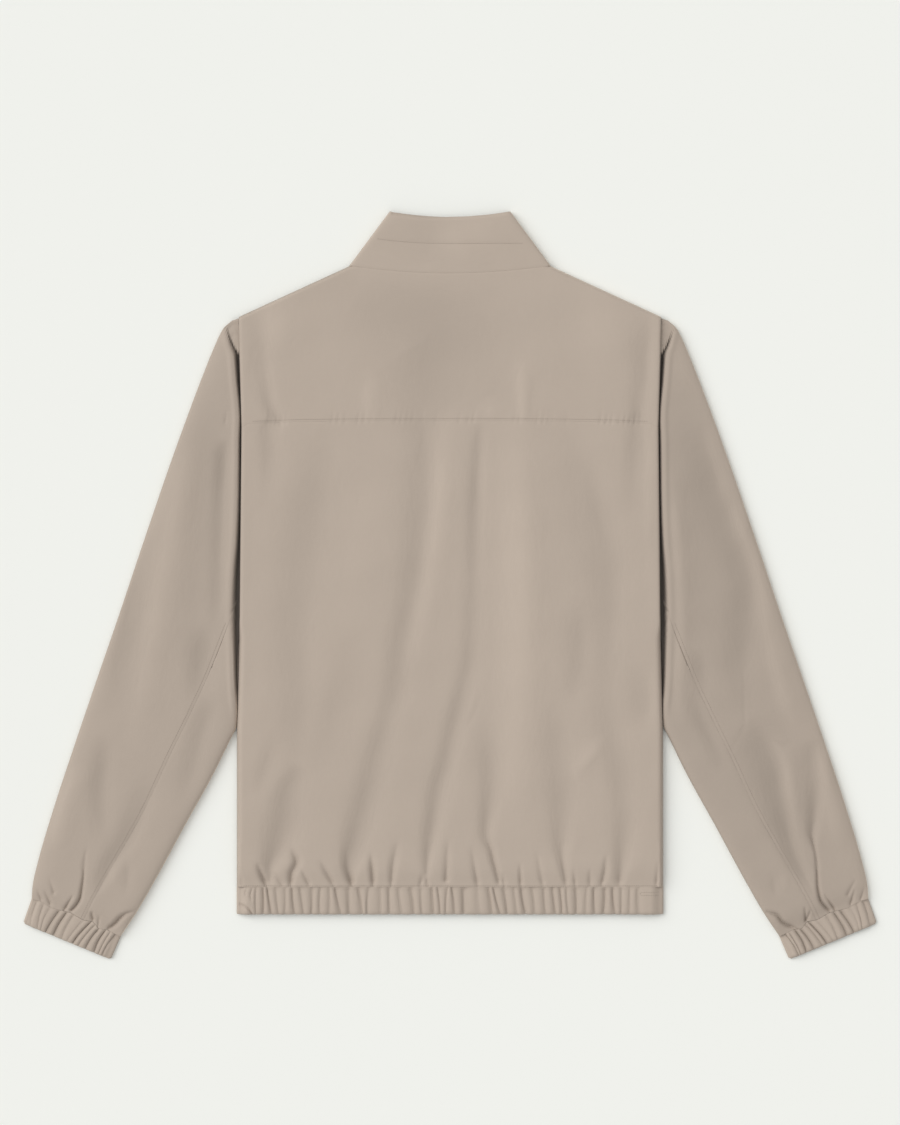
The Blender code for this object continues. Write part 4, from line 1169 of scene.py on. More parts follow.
def sleeve_level(x, y, label, side):
    """Height of the upper layer of a sleeve, and the painted light and shade in its cloth's colour."""
    outer = distance(x, y, sleeve_outer_line())
    inner = distance(x, y, sleeve_inner_line())
    cuff = distance(x, y, CUFF_SEAM)
    beside = soft_step((y - GAP_END_Y + GAP_END_INSET) / GAP_END_REACH)
    inner_round = np.exp(-inner / SLEEVE_INNER_ROUND) * (1.0 - GAP_ROUND_LESS * beside)
    crown = (1.0 - np.exp(-outer / SLEEVE_OUTER_ROUND)) * (1.0 - inner_round)
    main = between(SLEEVE_FOLD_LEVEL, SLEEVE_LEVEL, crown)
    main = between(CUFF_LEVEL + SLEEVE_OVER_CUFF, main, soft_step(cuff / CUFF_CLIMB))
    main = main + CUFF_FULLNESS * hump(cuff, CUFF_FULLNESS_AT, CUFF_FULLNESS_REACH) * crown
    fade = between(CUFF_FOLD_SHARE, 1.0, soft_step(cuff / CUFF_FADE_REACH))
    inside = between(SLEEVE_EDGE_FOLD_SHARE, 1.0, np.minimum(crown * SLEEVE_CROWN_GAIN, 1.0))
    folds = SLEEVE_RELIEF[label].depth(side * x, y) * inside * fade
    swell = SWELL * ripple(x, y, SLEEVE_SWELL_PITCH, 2.5 + 0.5 * side) * crown
    main = main + swell - folds - BAND_DIP_SHARE * seam_dip(cuff)
    by_gap, dark = gap_level(x, y, main)
    level = between(main, by_gap, beside)
    # Painted light towards the right sleeve's outer edge; painted shade over the whole sleeve, in its folds
    # and in the gap.
    rim = RIGHT_EDGE_PAINTED_LIGHT * max(side, 0) * np.exp(-outer / RIGHT_EDGE_REACH)
    tone = SLEEVE_PAINTED_SHADE[label] + rim - FOLD_PAINTED_SHADE_AND_LIGHT * folds - GAP_SHADE * beside * dark
    return np.maximum(level, GROUND_LEVEL + SLEEVE_CLEARANCE), tone


def sleeve_rows(key_rows, coarse):
    """Rows down a sleeve panel, closer together and twice as finely divided above the cuff."""
    keys = np.array(key_rows)
    middle = keys[:, keys.shape[1] // 4, :2]
    band = FINE_BAND / np.linalg.norm(np.diff(middle, axis=0), axis=1).sum()
    last = (1.0 - band * SEAM_ROW / FINE_BAND, 1.0)
    low = np.append(np.linspace(1.0 - band, 1.0, SLEEVE_FINE_ROWS)[1:-1], last)
    return (lofted(key_rows, np.linspace(0.0, 1.0 - band, coarse))
            + [add_midpoints(row) for row in lofted(key_rows, low)])


def sleeve_piece(name, key_rows, label, side, facing, coarse, finish):
    """A sleeve panel. Its folded edge faces right where facing is 1, and left where it is -1: a
    right-facing edge gets painted light round it, a left-facing one painted shade.
    """
    flat = sleeve_rows(key_rows, coarse)
    from_seam = np.concatenate([np.linalg.norm(row[:, :2] - row[0, :2], axis=1) for row in flat])
    x, y, turn = np.concatenate(flat).T
    upper, tone = sleeve_level(x, y, label, side)
    crease = SLEEVE_UNDER_SHARE * SLEEVE_RELIEF[label].depth(side * x, y)
    on_lower_layer = turn > 0.99
    lower = GROUND_LEVEL + np.clip(crease, 0.0, SLEEVE_UNDER_RISE) * on_lower_layer
    sewn = soft_step((ARMHOLE_END_Y - BACK_SEAM_START - y) / BACK_SEAM_REACH)
    groove = BACK_SEAM_DIP * hump(from_seam, 0.0, BACK_SEAM_WIDTH)
    welt = BACK_WELT_DIP * hump(from_seam, BACK_WELT_AT, BACK_WELT_WIDTH)
    z = round_fold(upper - (groove + welt) * sewn, lower, turn)
    spots = wandered(np.stack([x, y], axis=1))
    points = np.stack([side * spots[:, 0], spots[:, 1], z], axis=1)
    # The upper layer keeps its painted shade; round the folded edge comes painted light where it faces
    # right, painted shade where it faces left.
    tones = tone * (1.0 - turn) + EDGE_PAINTED_LIGHT_AND_SHADE[facing] * np.sin(math.pi * turn)
    return cloth_piece(name, split_rows(points, flat), split_rows(tones, flat), SHELL_WALL, finish)


def head_tuck(y):
    """How far the sleeve's upper edge lies in under the edge of the back."""
    low = soft_step((y - ARMHOLE_END_Y) / HEAD_TUCK_LOW_REACH)
    high = soft_step((HEAD_TUCK_TOP_Y - y) / HEAD_TUCK_HIGH_REACH)
    return between(HEAD_TUCK_ENDS, HEAD_TUCK, low * high)


def upper_sleeve_keys():
    """Across the upper panel, from the armhole or back seam over the outer fold and back."""
    keys = []
    for outer_x, outer_y, hole_y in SLEEVE_HEAD_ROWS:
        half = float(body_half_width(hole_y))
        start = (half - float(head_tuck(hole_y)), hole_y)
        end = (half + SEAM_GAP / 2, hole_y)
        keys.append(wrap(start, (outer_x, outer_y), end, UPPER_SLEEVE_COLUMNS))
    for outer_x, outer_y, seam_x, seam_y, _, _ in SLEEVE_ARM_ROWS:
        seam = (seam_x + SLEEVE_SEAM_HALF_GAP, seam_y)
        keys.append(wrap(seam, (outer_x, outer_y), seam, UPPER_SLEEVE_COLUMNS))
    return keys


def armhole_row():
    """The under panel's first row: down the armhole, round the underarm and up again."""
    over_count, fold_count, under_count = UNDER_SLEEVE_COLUMNS
    apex_y = SLEEVE_HEAD_ROWS[-1][2] - UNDERARM_EASE
    fold_y = UNDERARM_Y + UNDERARM_EASE
    over_y = between(apex_y, fold_y, np.linspace(0.0, 1.0, over_count))
    over_x = body_half_width(over_y) - head_tuck(over_y)
    angles = np.linspace(0.0, math.pi, fold_count + 2)[1:-1]
    fold_x = np.full(fold_count, fold_beside_body(0.0, UNDERARM_Y))
    under_y = between(fold_y, apex_y, np.linspace(0.0, 1.0, under_count))
    return np.concatenate([
        np.column_stack([over_x, over_y, np.zeros(over_count)]),
        np.column_stack([fold_x, fold_y - FOLD_RADIUS * np.sin(angles), angles / math.pi]),
        np.column_stack([body_half_width(under_y) + SEAM_GAP, under_y, np.ones(under_count)])])


def under_sleeve_keys():
    """Across the under panel, from the back seam over the underarm fold and back."""
    keys = [armhole_row()]
    for _, _, seam_x, seam_y, inner_x, inner_y in SLEEVE_ARM_ROWS:
        seam = (seam_x - SLEEVE_SEAM_HALF_GAP, seam_y)
        edge = (fold_beside_body(inner_x, inner_y), inner_y)
        keys.append(wrap(seam, edge, seam, UNDER_SLEEVE_COLUMNS))
    return keys


def build_sleeves(finish):
    made = []
    for label, side in SIDES:
        upper = sleeve_piece("sleeve_upper_" + label, upper_sleeve_keys(), label, side, side,
                             UPPER_SLEEVE_ROWS, finish)
        declare(upper, "sleeve_top_" + label)
        lower = sleeve_piece("sleeve_lower_" + label, under_sleeve_keys(), label, side, -side,
                             UNDER_SLEEVE_ROWS, finish)
        declare(lower, "sleeve_under_" + label)
        made += [upper, lower]
    return made


# --- gathered bands


def pleated(places, lines, power):
    """How deep the gathers lie at places along a band: round ribs that meet in creases."""
    spots, strengths = np.array(lines).T
    spots = np.concatenate([[spots[0] - END_RIB], spots, [spots[-1] + END_RIB]])
    strengths = np.concatenate([[0.0], strengths, [0.0]])
    after = np.clip(np.searchsorted(spots, places, side="right"), 1, len(spots) - 1)
    span = np.maximum(spots[after] - spots[after - 1], 0.1)
    t = np.clip((places - spots[after - 1]) / span, 0.0, 1.0)
    return strengths[after - 1] * (1.0 - t) ** power + strengths[after] * t ** power


def band_columns(lines, start, end, per_rib):
    """Places along a band with a column on every crease."""
    stops = [start] + [place for place, _ in lines] + [end]
    places = [np.linspace(low, high, per_rib + 1)[:-1] for low, high in zip(stops[:-1], stops[1:])]
    return np.concatenate(places + [[end]])


def bowed(lines, share, bow, drift):
    """Where the crease lines stand at a share of the way down, each bent a little."""
    return [(between(top, bottom, share)
             + math.sin(math.pi * share) * (drift + bow * math.sin(2.4 * index)), strength)
            for index, (top, bottom, strength) in enumerate(lines)]


def gather_share(share, ends):
    """How much of a gather's depth there is at a share of the way down a band.

    The ends are what is left of it at the seam and at the open edge.
    """
    at_seam, at_edge = ends
    return (between(at_seam, 1.0, soft_step(share / GATHER_SEAM_REACH))
            * between(at_edge, 1.0, soft_step((1.0 - share) / GATHER_EDGE_REACH)))


def band_turn(share, height, edge_drop):
    """How far a band turns down beside its seam and at its open edge."""
    return BAND_DIP_SHARE * seam_dip(share * height) + edge_drop * hump(share, 1.0, BAND_EDGE_REACH)


def hem_row(share, gather_depth):
    """A row all round the hem band from zip to zip, at a share of the way down, and its painted shade in
    the gathers.
    """
    half = float(body_half_width(HEM_SEAM_Y))
    fold_x = half - HEM_FOLD_RADIUS
    top_y = HEM_SEAM_Y - SEAM_GAP / 2
    y = between(top_y, HEM_BOTTOM_Y, share)

    lines = bowed(HEM_PLEATS, share, HEM_BOW, 0.0)
    places = band_columns(lines, -fold_x, fold_x, HEM_COLUMNS_PER_RIB)
    inside = soft_step((half - HEM_END_INSET - np.abs(places)) / HEM_END_REACH)
    depth = pleated(places, lines, HEM_RIB_POWER) * inside
    wrinkle = BAND_RELIEF.depth(places, np.full(places.shape, y))
    deep = gather_depth * depth * gather_share(share, HEM_GATHER_ENDS) + wrinkle
    crown = between(HEM_END_LEVEL, 1.0, soft_step((fold_x - np.abs(places)) / HEM_CROWN_REACH))
    turned = band_turn(share, top_y - HEM_BOTTOM_Y, HEM_EDGE_DROP)
    upper = (HEM_LEVEL + HEM_BULGE * math.sin(math.pi * share) - turned) * crown - deep
    wavy_y = y + HEM_EDGE_WAVE * share * (depth - HEM_EDGE_WAVE_AT)
    back = np.stack([places, wavy_y, upper], axis=1)

    front_x = np.linspace(fold_x, FRONT_EDGE_X, HEM_FRONT_COLUMNS)
    front_lines = sorted((abs(place) + HEM_FRONT_SHIFT, strength) for place, strength in lines[::2])
    front_inside = both_ends(front_x, HEM_FRONT_START_X, half - HEM_FRONT_INSET, HEM_FRONT_REACH)
    rise = HEM_FRONT_DEPTH * pleated(front_x, front_lines, UNDER_RIB_POWER)
    lower = BAND_GROUND_LEVEL + rise * front_inside
    front = np.stack([front_x, np.full(front_x.shape, y), lower], axis=1)
    fold = np.stack([fold_x + HEM_FOLD_RADIUS * np.sin(BAND_FOLD_ANGLES),
                     np.full(BAND_FOLD_ANGLES.shape, y),
                     round_fold(upper[-1], BAND_GROUND_LEVEL, BAND_FOLD_ANGLES / math.pi)], axis=1)
    mirror = np.array([-1.0, 1.0, 1.0])
    plain = np.zeros(len(front) + len(fold))
    # The back's gathers get painted shade; its fronts and folds none.
    return (np.concatenate([front[::-1] * mirror, fold[::-1] * mirror, back, fold, front]),
            np.concatenate([plain, -BAND_PAINTED_SHADE * deep, plain]))


def build_hem(finish, gather_depth):
    rows, tones = zip(*(hem_row(share, gather_depth) for share in BAND_SHARES))
    piece = cloth_piece("hem_band_cloth", rows, tones, BAND_WALL, finish)
    declare(piece, "hem_band")
    return [piece]


def cuff_lines(share, side, width):
    """The creases of a cuff at a share of the way down. The right cuff's wander a little."""
    lines = bowed([(top * width, bottom * width, strength) for top, bottom, strength in CUFF_PLEATS],
                  share, CUFF_BOW, CUFF_DRIFT)
    if side < 0:
        return lines
    return [(place + RIGHT_CUFF_SHIFT * math.sin(3.0 * index), strength)
            for index, (place, strength) in enumerate(lines)]


def cuff_row(share, side, gather_depth):
    """A ring of a cuff at a share of the way down, and its painted shade in the gathers."""
    outer, inner = (between(np.array(top), np.array(bottom), share)
                    for top, bottom in zip(CUFF_SEAM, CUFF_OPEN_EDGE))
    width = np.linalg.norm(inner - outer)
    corner = CUFF_CORNER * max(share - CUFF_CORNER_START, 0.0) / (1.0 - CUFF_CORNER_START)
    low, high = CUFF_FOLD_RADIUS + corner, width - CUFF_FOLD_RADIUS - corner

    lines = cuff_lines(share, side, width)
    places = band_columns(lines, low, high, CUFF_COLUMNS_PER_RIB)
    depth = pleated(places, lines, CUFF_RIB_POWER) * both_ends(places, low, high, CUFF_END_REACH)
    deep = gather_depth * depth * gather_share(share, CUFF_GATHER_ENDS)
    crown = between(CUFF_END_LEVEL, 1.0, both_ends(places, low, high, CUFF_CROWN_REACH))
    turned = band_turn(share, CUFF_HEIGHT, CUFF_EDGE_DROP)
    upper = np.maximum((CUFF_LEVEL - turned) * crown - deep, CUFF_LOWEST)

    under_places = np.linspace(high, low, CUFF_UNDER_COLUMNS)
    rise = CUFF_UNDER_DEPTH * pleated(under_places, lines[1::2], UNDER_RIB_POWER)
    under = BAND_GROUND_LEVEL + rise * both_ends(under_places, low, high, CUFF_UNDER_REACH)
    out = CUFF_FOLD_RADIUS * np.sin(BAND_FOLD_ANGLES)
    turn = BAND_FOLD_ANGLES / math.pi
    section = np.concatenate([
        np.column_stack([places, upper]),
        np.column_stack([high + out, round_fold(upper[-1], BAND_GROUND_LEVEL, turn)]),
        np.column_stack([under_places, under]),
        np.column_stack([low - out, round_fold(BAND_GROUND_LEVEL, upper[0], turn)])])
    spots = wandered(outer + (inner - outer) / width * section[:, :1])
    return (np.column_stack([side * spots[:, 0], spots[:, 1], section[:, 1]]),
            np.concatenate([-CUFF_PAINTED_SHADE * deep, np.zeros(len(section) - len(places))]))


def build_cuffs(finish, gather_depth):
    made = []
    for label, side in SIDES:
        rows, tones = zip(*(cuff_row(share, side, gather_depth) for share in BAND_SHARES))
        piece = cloth_piece("cuff_band_" + label, rows, tones, BAND_WALL, finish, ring=True)
        declare(piece, "cuff_" + label)
        made.append(piece)
    return made


# --- the collar


def zip_level(y):
    return table_value(ZIP_ROWS, y)


def collar_half_row(share, side):
    """Half a row of the collar, from the middle of the back round its side to the zip."""
    half = between(NECK_HALF_WIDTH, COLLAR_TOP_HALF_WIDTH, share)
    x, _, turn = wrap((0.0, 0.0), (side * half, 0.0), (side * FRONT_EDGE_X, 0.0), COLLAR_COLUMNS).T
    across = x / half
    base_x = across * NECK_HALF_WIDTH
    back_rim = COLLAR_TOP_Y - (1.0 - across ** 2) * COLLAR_BACK_DIP
    back_y = between(back_neck_y(base_x) + SEAM_GAP / 2, back_rim, share)
    front_rim = COLLAR_TOP_Y - (1.0 - across ** 2) * COLLAR_FRONT_DIP
    front_y = between(front_neck_y(base_x) + SEAM_GAP / 2, front_rim, share)
    y = between(back_y, front_y, soft_step(turn))

    calm = soft_step(share / COLLAR_CALM_SHARE)
    folds = COLLAR_RELIEF.depth(x, y) * calm
    edge = 1.0 - np.exp(-(half - np.abs(x)) / COLLAR_SIDE_ROUND)
    turned = (seam_dip(back_y - back_neck_y(base_x))
              + COLLAR_EDGE_DROP * hump(share, 1.0, COLLAR_EDGE_REACH))
    upper = between(COLLAR_SIDE_LEVEL, COLLAR_LEVEL, edge) - (folds + turned) * edge
    upper = upper + COLLAR_SWELL * ripple(x, y, COLLAR_SWELL_PITCH, 4.0) * edge * calm
    by_zip = soft_step((ZIP_COVER_HALF_WIDTH - np.abs(x)) / ZIP_COVER_REACH)
    over_zip = np.maximum(zip_level(y) - ZIP_COVER_LEVEL, 0.0) * by_zip
    z = round_fold(upper, COLLAR_GROUND_LEVEL + over_zip, turn)
    # Painted light round the right side's fold, and painted shade in the folds, painted light on their
    # ridges.
    light = max(side, 0) * EDGE_PAINTED_LIGHT_AND_SHADE[1] * np.sin(math.pi * turn)
    return np.stack([x, y, z], axis=1), light - FOLD_PAINTED_SHADE_AND_LIGHT * folds * (1.0 - turn)


def build_collar(finish):
    rows = []
    tones = []
    for share in COLLAR_SHARES:
        (left, left_tones), (right, right_tones) = (collar_half_row(share, side) for side in (-1, 1))
        rows.append(np.concatenate([left[::-1], right[1:]]))
        tones.append(np.concatenate([left_tones[::-1], right_tones[1:]]))
    piece = cloth_piece("collar_band", rows, tones, COLLAR_WALL, finish)
    declare(piece, "collar")
    return [piece]


# --- the zip


def add_box(builder, low, high):
    corners = [builder.verts.new((x * MM, y * MM, z * MM)) for x in (low[0], high[0])
               for y in (low[1], high[1]) for z in (low[2], high[2])]
    for face in ((0, 1, 3, 2), (4, 6, 7, 5), (0, 4, 5, 1), (2, 3, 7, 6), (0, 2, 6, 4), (1, 5, 7, 3)):
        builder.faces.new([corners[index] for index in face])


def zip_tape(label, side, finish):
    """One tape, flat across, that follows the zip's height."""
    x = np.linspace(TAPE_INNER_X, TAPE_OUTER_X, TAPE_COLUMNS)
    rows = []
    for y in TAPE_ROW_PLACES:
        z = np.full(TAPE_COLUMNS, float(zip_level(y))) + TAPE_WAVE * np.sin(y * TAPE_WAVE_TURNS)
        rows.append(np.stack([side * x, np.full(TAPE_COLUMNS, y), z], axis=1))
    tones = [np.zeros(TAPE_COLUMNS) for _ in rows]
    return cloth_piece("zip_tape_cloth_" + label, rows, tones, TAPE_WALL, finish)


def zip_coil(label, side, finish, pitch):
    """One tape's half of the chain: a head and a shank for each turn of the coil."""
    teeth = bmesh.new()
    for index in range(int((TEETH_TOP_Y - TEETH_BOTTOM_Y) / pitch)):
        y = TEETH_BOTTOM_Y + (index + (0.25 if side > 0 else 0.75)) * pitch
        level = float(zip_level(y))
        for x_low, x_high, half, tall in TOOTH_PARTS:
            left, right = sorted((side * x_low, side * x_high))
            add_box(teeth, (left, y - half, level - tall), (right, y + half, level + tall))
    mesh = bpy.data.meshes.new("zip_coil_" + label)
    teeth.to_mesh(mesh)
    teeth.free()
    mesh.materials.append(finish)
    coil = bpy.data.objects.new("zip_coil_" + label, mesh)
    bpy.context.scene.collection.objects.link(coil)
    return coil


def build_zip(tape_finish, metal_finish, pitch):
    """The tapes and coils. The slider, box and pull tab keep their own form and get their metal."""
    made = []
    for label, side in SIDES:
        tape = zip_tape(label, side, tape_finish)
        coil = zip_coil(label, side, tape_finish, pitch)
        declare(tape, "zip_tape_" + label)
        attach(coil, "jacket")
        made += [tape, coil]
    for node in ("zip_slider", "zip_box", "zip_pull_tab"):
        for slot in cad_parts[node].material_slots:
            slot.material = metal_finish
    return made


# --- stitching


class Surface:
    """The upper face of a piece, to lay thread on."""

    def __init__(self, piece):
        self.tree = BVHTree.FromObject(piece, bpy.context.evaluated_depsgraph_get())

    def height(self, x, y):
        """The height there, or None past the piece's edge."""
        hit = self.tree.ray_cast(Vector((x * MM, y * MM, 0.05)), Vector((0.0, 0.0, -1.0)))[0]
        return None if hit is None else hit.z / MM


def stitch_points(surface, middle, direction, thread):
    """The rings of a stitch that lies on the surface. Past the piece's edge there are none."""
    length, radius = thread
    ends = [middle + direction * length * share for share in (-0.45, 0.45)]
    heights = [surface.height(*spot) for spot in (ends[0], ends[1], middle)]
    if None in heights:
        return []
    across = np.array([-direction[1], direction[0]])
    points = []
    for share, thickness in STITCH_SHAPE:
        spot = middle + direction * length * share
        low = between(heights[0], heights[1], share + 0.5)
        centre = max(low, heights[2] - abs(share)) + STITCH_LIFT - 0.5 * share * share
        for corner in range(STITCH_SIDES):
            angle = 2 * math.pi * corner / STITCH_SIDES
            offset = radius * thickness * math.cos(angle)
            points.append((spot[0] + across[0] * offset, spot[1] + across[1] * offset,
                           centre + radius * thickness * math.sin(angle)))
    return points


def stitch_faces(base):
    """The faces of a stitch whose points start at base."""
    faces = []
    top = base + (len(STITCH_SHAPE) - 1) * STITCH_SIDES
    for low in range(base, top, STITCH_SIDES):
        high = low + STITCH_SIDES
        for corner in range(STITCH_SIDES):
            after = (corner + 1) % STITCH_SIDES
            faces.append((low + corner, low + after, high + after, high + corner))
    faces.append(tuple(base + corner for corner in reversed(range(STITCH_SIDES))))
    faces.append(tuple(top + corner for corner in range(STITCH_SIDES)))
    return faces


def stitch_row(name, under, lines, finish, sizes):
    """Rows of short stitches that lie along lines on the piece under them, as one mesh."""
    length, pitch, radius = sizes
    surface = Surface(bpy.data.objects[under])
    points = []
    faces = []
    for line in lines:
        rough = smooth_curve(line, np.linspace(0.0, 1.0, 60))
        whole = np.linalg.norm(np.diff(rough, axis=0), axis=1).sum()
        count = max(int(whole / pitch), 1)
        places = smooth_curve(line, (np.arange(count) + 0.5) / count)
        ahead = smooth_curve(line, np.minimum((np.arange(count) + 0.6) / count, 1.0))
        for middle, after in zip(places, ahead):
            direction = (after - middle) / max(np.linalg.norm(after - middle), 1e-6)
            stitch = stitch_points(surface, middle, direction, (length, radius))
            if stitch:
                faces += stitch_faces(len(points))
                points += stitch
    piece = make_piece(name, points, faces, finish)
    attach(piece, "jacket")
    return piece


def collar_stitch_y(x):
    """The topstitching rises to both sides of the collar, more to its left."""
    rise = COLLAR_STITCH_RISES[-1 if x < 0.0 else 1]
    return COLLAR_STITCH_Y + rise * (x / COLLAR_STITCH_END_X) ** 2


def build_stitching(finish, sizes):
    """The rows of stitches that show, each on the piece that it is sewn through."""
    yoke = [(x, float(yoke_seam_y(x)) + YOKE_STITCH_AWAY) for x in np.linspace(-206.0, 206.0, 24)]
    collar = [(x, collar_stitch_y(x)) for x in np.linspace(-76.0, 76.0, 13)]
    hem = [(x, HEM_SEAM_Y + HEM_STITCH_AWAY) for x in np.linspace(-216.0, 216.0, 5)]
    left, right, top, bottom = HEM_TACK_BOX
    tack = [[(left, top), (right, top)], [(left, bottom), (right, bottom)],
            [(left, top), (left, bottom)]]
    rows = [
        ("yoke_stitches", "back_yoke_panel", [yoke], "shell_cloth"),
        ("collar_stitches", "collar_band", [collar], "collar_cloth"),
        ("hem_stitches", "back_panel", [hem], "shell_cloth"),
        ("hem_tack_stitches", "hem_band_cloth", tack, "band_cloth"),
    ]
    shifts = [SLEEVE_STITCH_SHIFT] * (len(SLEEVE_ARM_ROWS) - 1) + [SLEEVE_STITCH_END_SHIFT]
    seam = [(row[2] + shift_x, row[3] + shift_y)
            for row, (shift_x, shift_y) in zip(SLEEVE_ARM_ROWS, shifts)]
    for label, side in SIDES:
        line = [(side * x, y) for x, y in seam]
        rows.append(("sleeve_stitches_" + label, "sleeve_upper_" + label, [line], "shell_cloth"))
    return [stitch_row(name, under, lines, finish, sizes)
            for name, under, lines, slot in rows]


# --- materials


class Value:
    """A socket in a material. Arithmetic on it adds the nodes that work it out."""

    def __init__(self, recipe, socket):
        self.recipe = recipe
        self.socket = socket

    def math(self, operation, *inputs):
        node = self.recipe.node("ShaderNodeMath", {"operation": operation}, *inputs)
        return Value(self.recipe, node.outputs[0])

    def __add__(self, other):
        return self.math("ADD", self, other)

    __radd__ = __add__

    def __sub__(self, other):
        return self.math("SUBTRACT", self, other)

    def __mul__(self, other):
        return self.math("MULTIPLY", self, other)

    __rmul__ = __mul__

    def sine(self):
        return self.math("SINE", self)


class Recipe:
    """A material with a Principled shader, and one way to add any node to it."""

    def __init__(self, name):
        self.material = bpy.data.materials.new(name)
        self.material.use_nodes = True
        self.tree = self.material.node_tree
        self.shader = self.tree.nodes["Principled BSDF"]

    def node(self, kind, settings, *inputs, **named):
        """A node of a kind. Its settings are set first, then its sockets' values or links."""
        made = self.tree.nodes.new(kind)
        for key, value in settings.items():
            setattr(made, key, value)
        for key, value in list(enumerate(inputs)) + list(named.items()):
            if value is None:
                continue
            socket = made.inputs[key.replace("_", " ") if isinstance(key, str) else key]
            self.feed(socket, value)
        return made

    def feed(self, socket, value):
        if isinstance(value, Value):
            self.tree.links.new(value.socket, socket)
        else:
            socket.default_value = value

    def value(self, node, output=0):
        return Value(self, node.outputs[output])

    def noise(self, vector, scale, detail=2.0, roughness=0.5):
        node = self.node("ShaderNodeTexNoise", {}, Vector=vector, Scale=scale, Detail=detail,
                         Roughness=roughness)
        return self.value(node, 0)

    def mix(self, factor, first, second, blend="MIX"):
        node = self.node("ShaderNodeMix", {"data_type": "RGBA", "blend_type": blend})
        for index, given in ((0, factor), (6, first), (7, second)):
            self.feed(node.inputs[index], given)
        return self.value(node, 2)

    def bump(self, height, strength, depth, normal=None):
        node = self.node("ShaderNodeBump", {}, Height=height, Strength=strength, Distance=depth)
        if normal is not None:
            self.feed(node.inputs["Normal"], normal)
        return self.value(node, 0)

    def finish(self, **sockets):
        for key, value in sockets.items():
            self.feed(self.shader.inputs[key.replace("_", " ")], value)
        return self.material


def rgba(color, scale=1.0):
    return (color[0] * scale, color[1] * scale, color[2] * scale, 1.0)


def woven(name, color, pitch, roughness, crinkle):
    """Smooth plain-woven cloth: fine threads both ways, faint streaks, and the painted light and
    shade that each place carries in its attribute."""
    recipe = Recipe(name)
    place = recipe.value(recipe.node("ShaderNodeAttribute", {"attribute_name": "cloth"}), "Vector")
    parts = recipe.node("ShaderNodeSeparateXYZ", {}, place)
    across, along, fold = (recipe.value(parts, index) for index in range(3))
    turns = 2 * math.pi / pitch
    warp = (across * turns).sine()
    weft = (along * turns).sine()
    weave = warp * weft
    thread = (across * (turns * 0.5)).sine() * (along * (turns * 0.5)).sine()
    narrow, long = 1400.0, 60.0
    streaks = []
    for scale_x, scale_y in ((narrow, long), (long, narrow)):
        stretched = recipe.node("ShaderNodeCombineXYZ", {}, across * scale_x, along * scale_y, 0.0)
        streaks.append(recipe.noise(recipe.value(stretched), 1.0, 1.0))
    cloud = recipe.noise(place, 14.0, 3.0, 0.55)
    # The attribute's third value, fold, is painted light and shade, multiplied into the cloth's colour with
    # its streaks, cloud and weave.
    tone = ((0.955 + 0.03 * streaks[0] + 0.03 * streaks[1] + 0.05 * cloud + 0.012 * weave)
            * (1.0 + fold))
    shade = recipe.value(recipe.node("ShaderNodeCombineColor", {}, tone, tone, tone))
    base = recipe.mix(1.0, rgba(color), shade, "MULTIPLY")
    wrinkle = recipe.noise(place, 55.0, 3.0, 0.5) * crinkle + recipe.noise(place, 260.0, 2.0) * 0.12
    soft = recipe.bump(wrinkle, 0.5, 0.0012)
    fine = recipe.bump(weave * 0.6 + thread * 0.4, 0.25, 0.00006, soft)
    return recipe.finish(
        Base_Color=base, Roughness=roughness + 0.06 * cloud - 0.03 * weave, Normal=fine,
        Specular_IOR_Level=0.35, Sheen_Weight=0.10, Sheen_Roughness=0.45)


def thread_finish(name, color):
    recipe = Recipe(name)
    place = recipe.value(recipe.node("ShaderNodeTexCoord", {}), "Object")
    fuzz = recipe.noise(place, 2600.0, 2.0)
    base = recipe.mix(fuzz, rgba(color, 0.86), rgba(color, 1.06))
    return recipe.finish(Base_Color=base, Roughness=0.55 + 0.2 * fuzz,
                         Normal=recipe.bump(fuzz, 0.3, 0.0001), Sheen_Weight=0.15)


def brushed_metal(name, color):
    recipe = Recipe(name)
    place = recipe.value(recipe.node("ShaderNodeTexCoord", {}), "Object")
    stretched = recipe.value(recipe.node("ShaderNodeMapping", {}, place, Scale=(9000.0, 700.0, 900.0)))
    lines = recipe.noise(stretched, 1.0, 2.0)
    worn = recipe.noise(place, 320.0, 3.0)
    base = recipe.mix(worn, rgba(color, 0.82), rgba(color, 1.12))
    return recipe.finish(Base_Color=base, Metallic=1.0, Roughness=0.26 + 0.2 * lines,
                         Normal=recipe.bump(lines, 0.12, 0.00005))


def floor_finish(name, color):
    recipe = Recipe(name)
    place = recipe.value(recipe.node("ShaderNodeTexCoord", {}), "Object")
    base = recipe.mix(recipe.noise(place, 3.0, 2.0), rgba(color, 0.995), rgba(color, 1.005))
    return recipe.finish(Base_Color=base, Roughness=0.85, Specular_IOR_Level=0.2)


def finish_named(name):
    """The material of that name, made when it is first asked for."""
    if name in bpy.data.materials:
        return bpy.data.materials[name]
    looks = bpy.context.scene.jacket_looks
    cloth = tuple(looks.cloth_color)
    recipes = {
        "shell_nylon": lambda: woven(name, cloth, looks.thread_pitch, looks.cloth_roughness, 0.5),
        "band_nylon": lambda: woven(name, cloth, looks.thread_pitch, looks.cloth_roughness, 0.7),
        "collar_nylon": lambda: woven(name, cloth, looks.thread_pitch, looks.cloth_roughness, 0.5),
        "tape_weave": lambda: woven(name, tuple(looks.tape_color), 0.0009, 0.8, 0.2),
        "sewing_thread": lambda: thread_finish(name, tuple(looks.thread_color)),
        "slider_metal": lambda: brushed_metal(name, tuple(looks.metal_color)),
        "floor_paper": lambda: floor_finish(name, tuple(looks.floor_color)),
    }
    return recipes[name]()


# --- settings, operators and panel


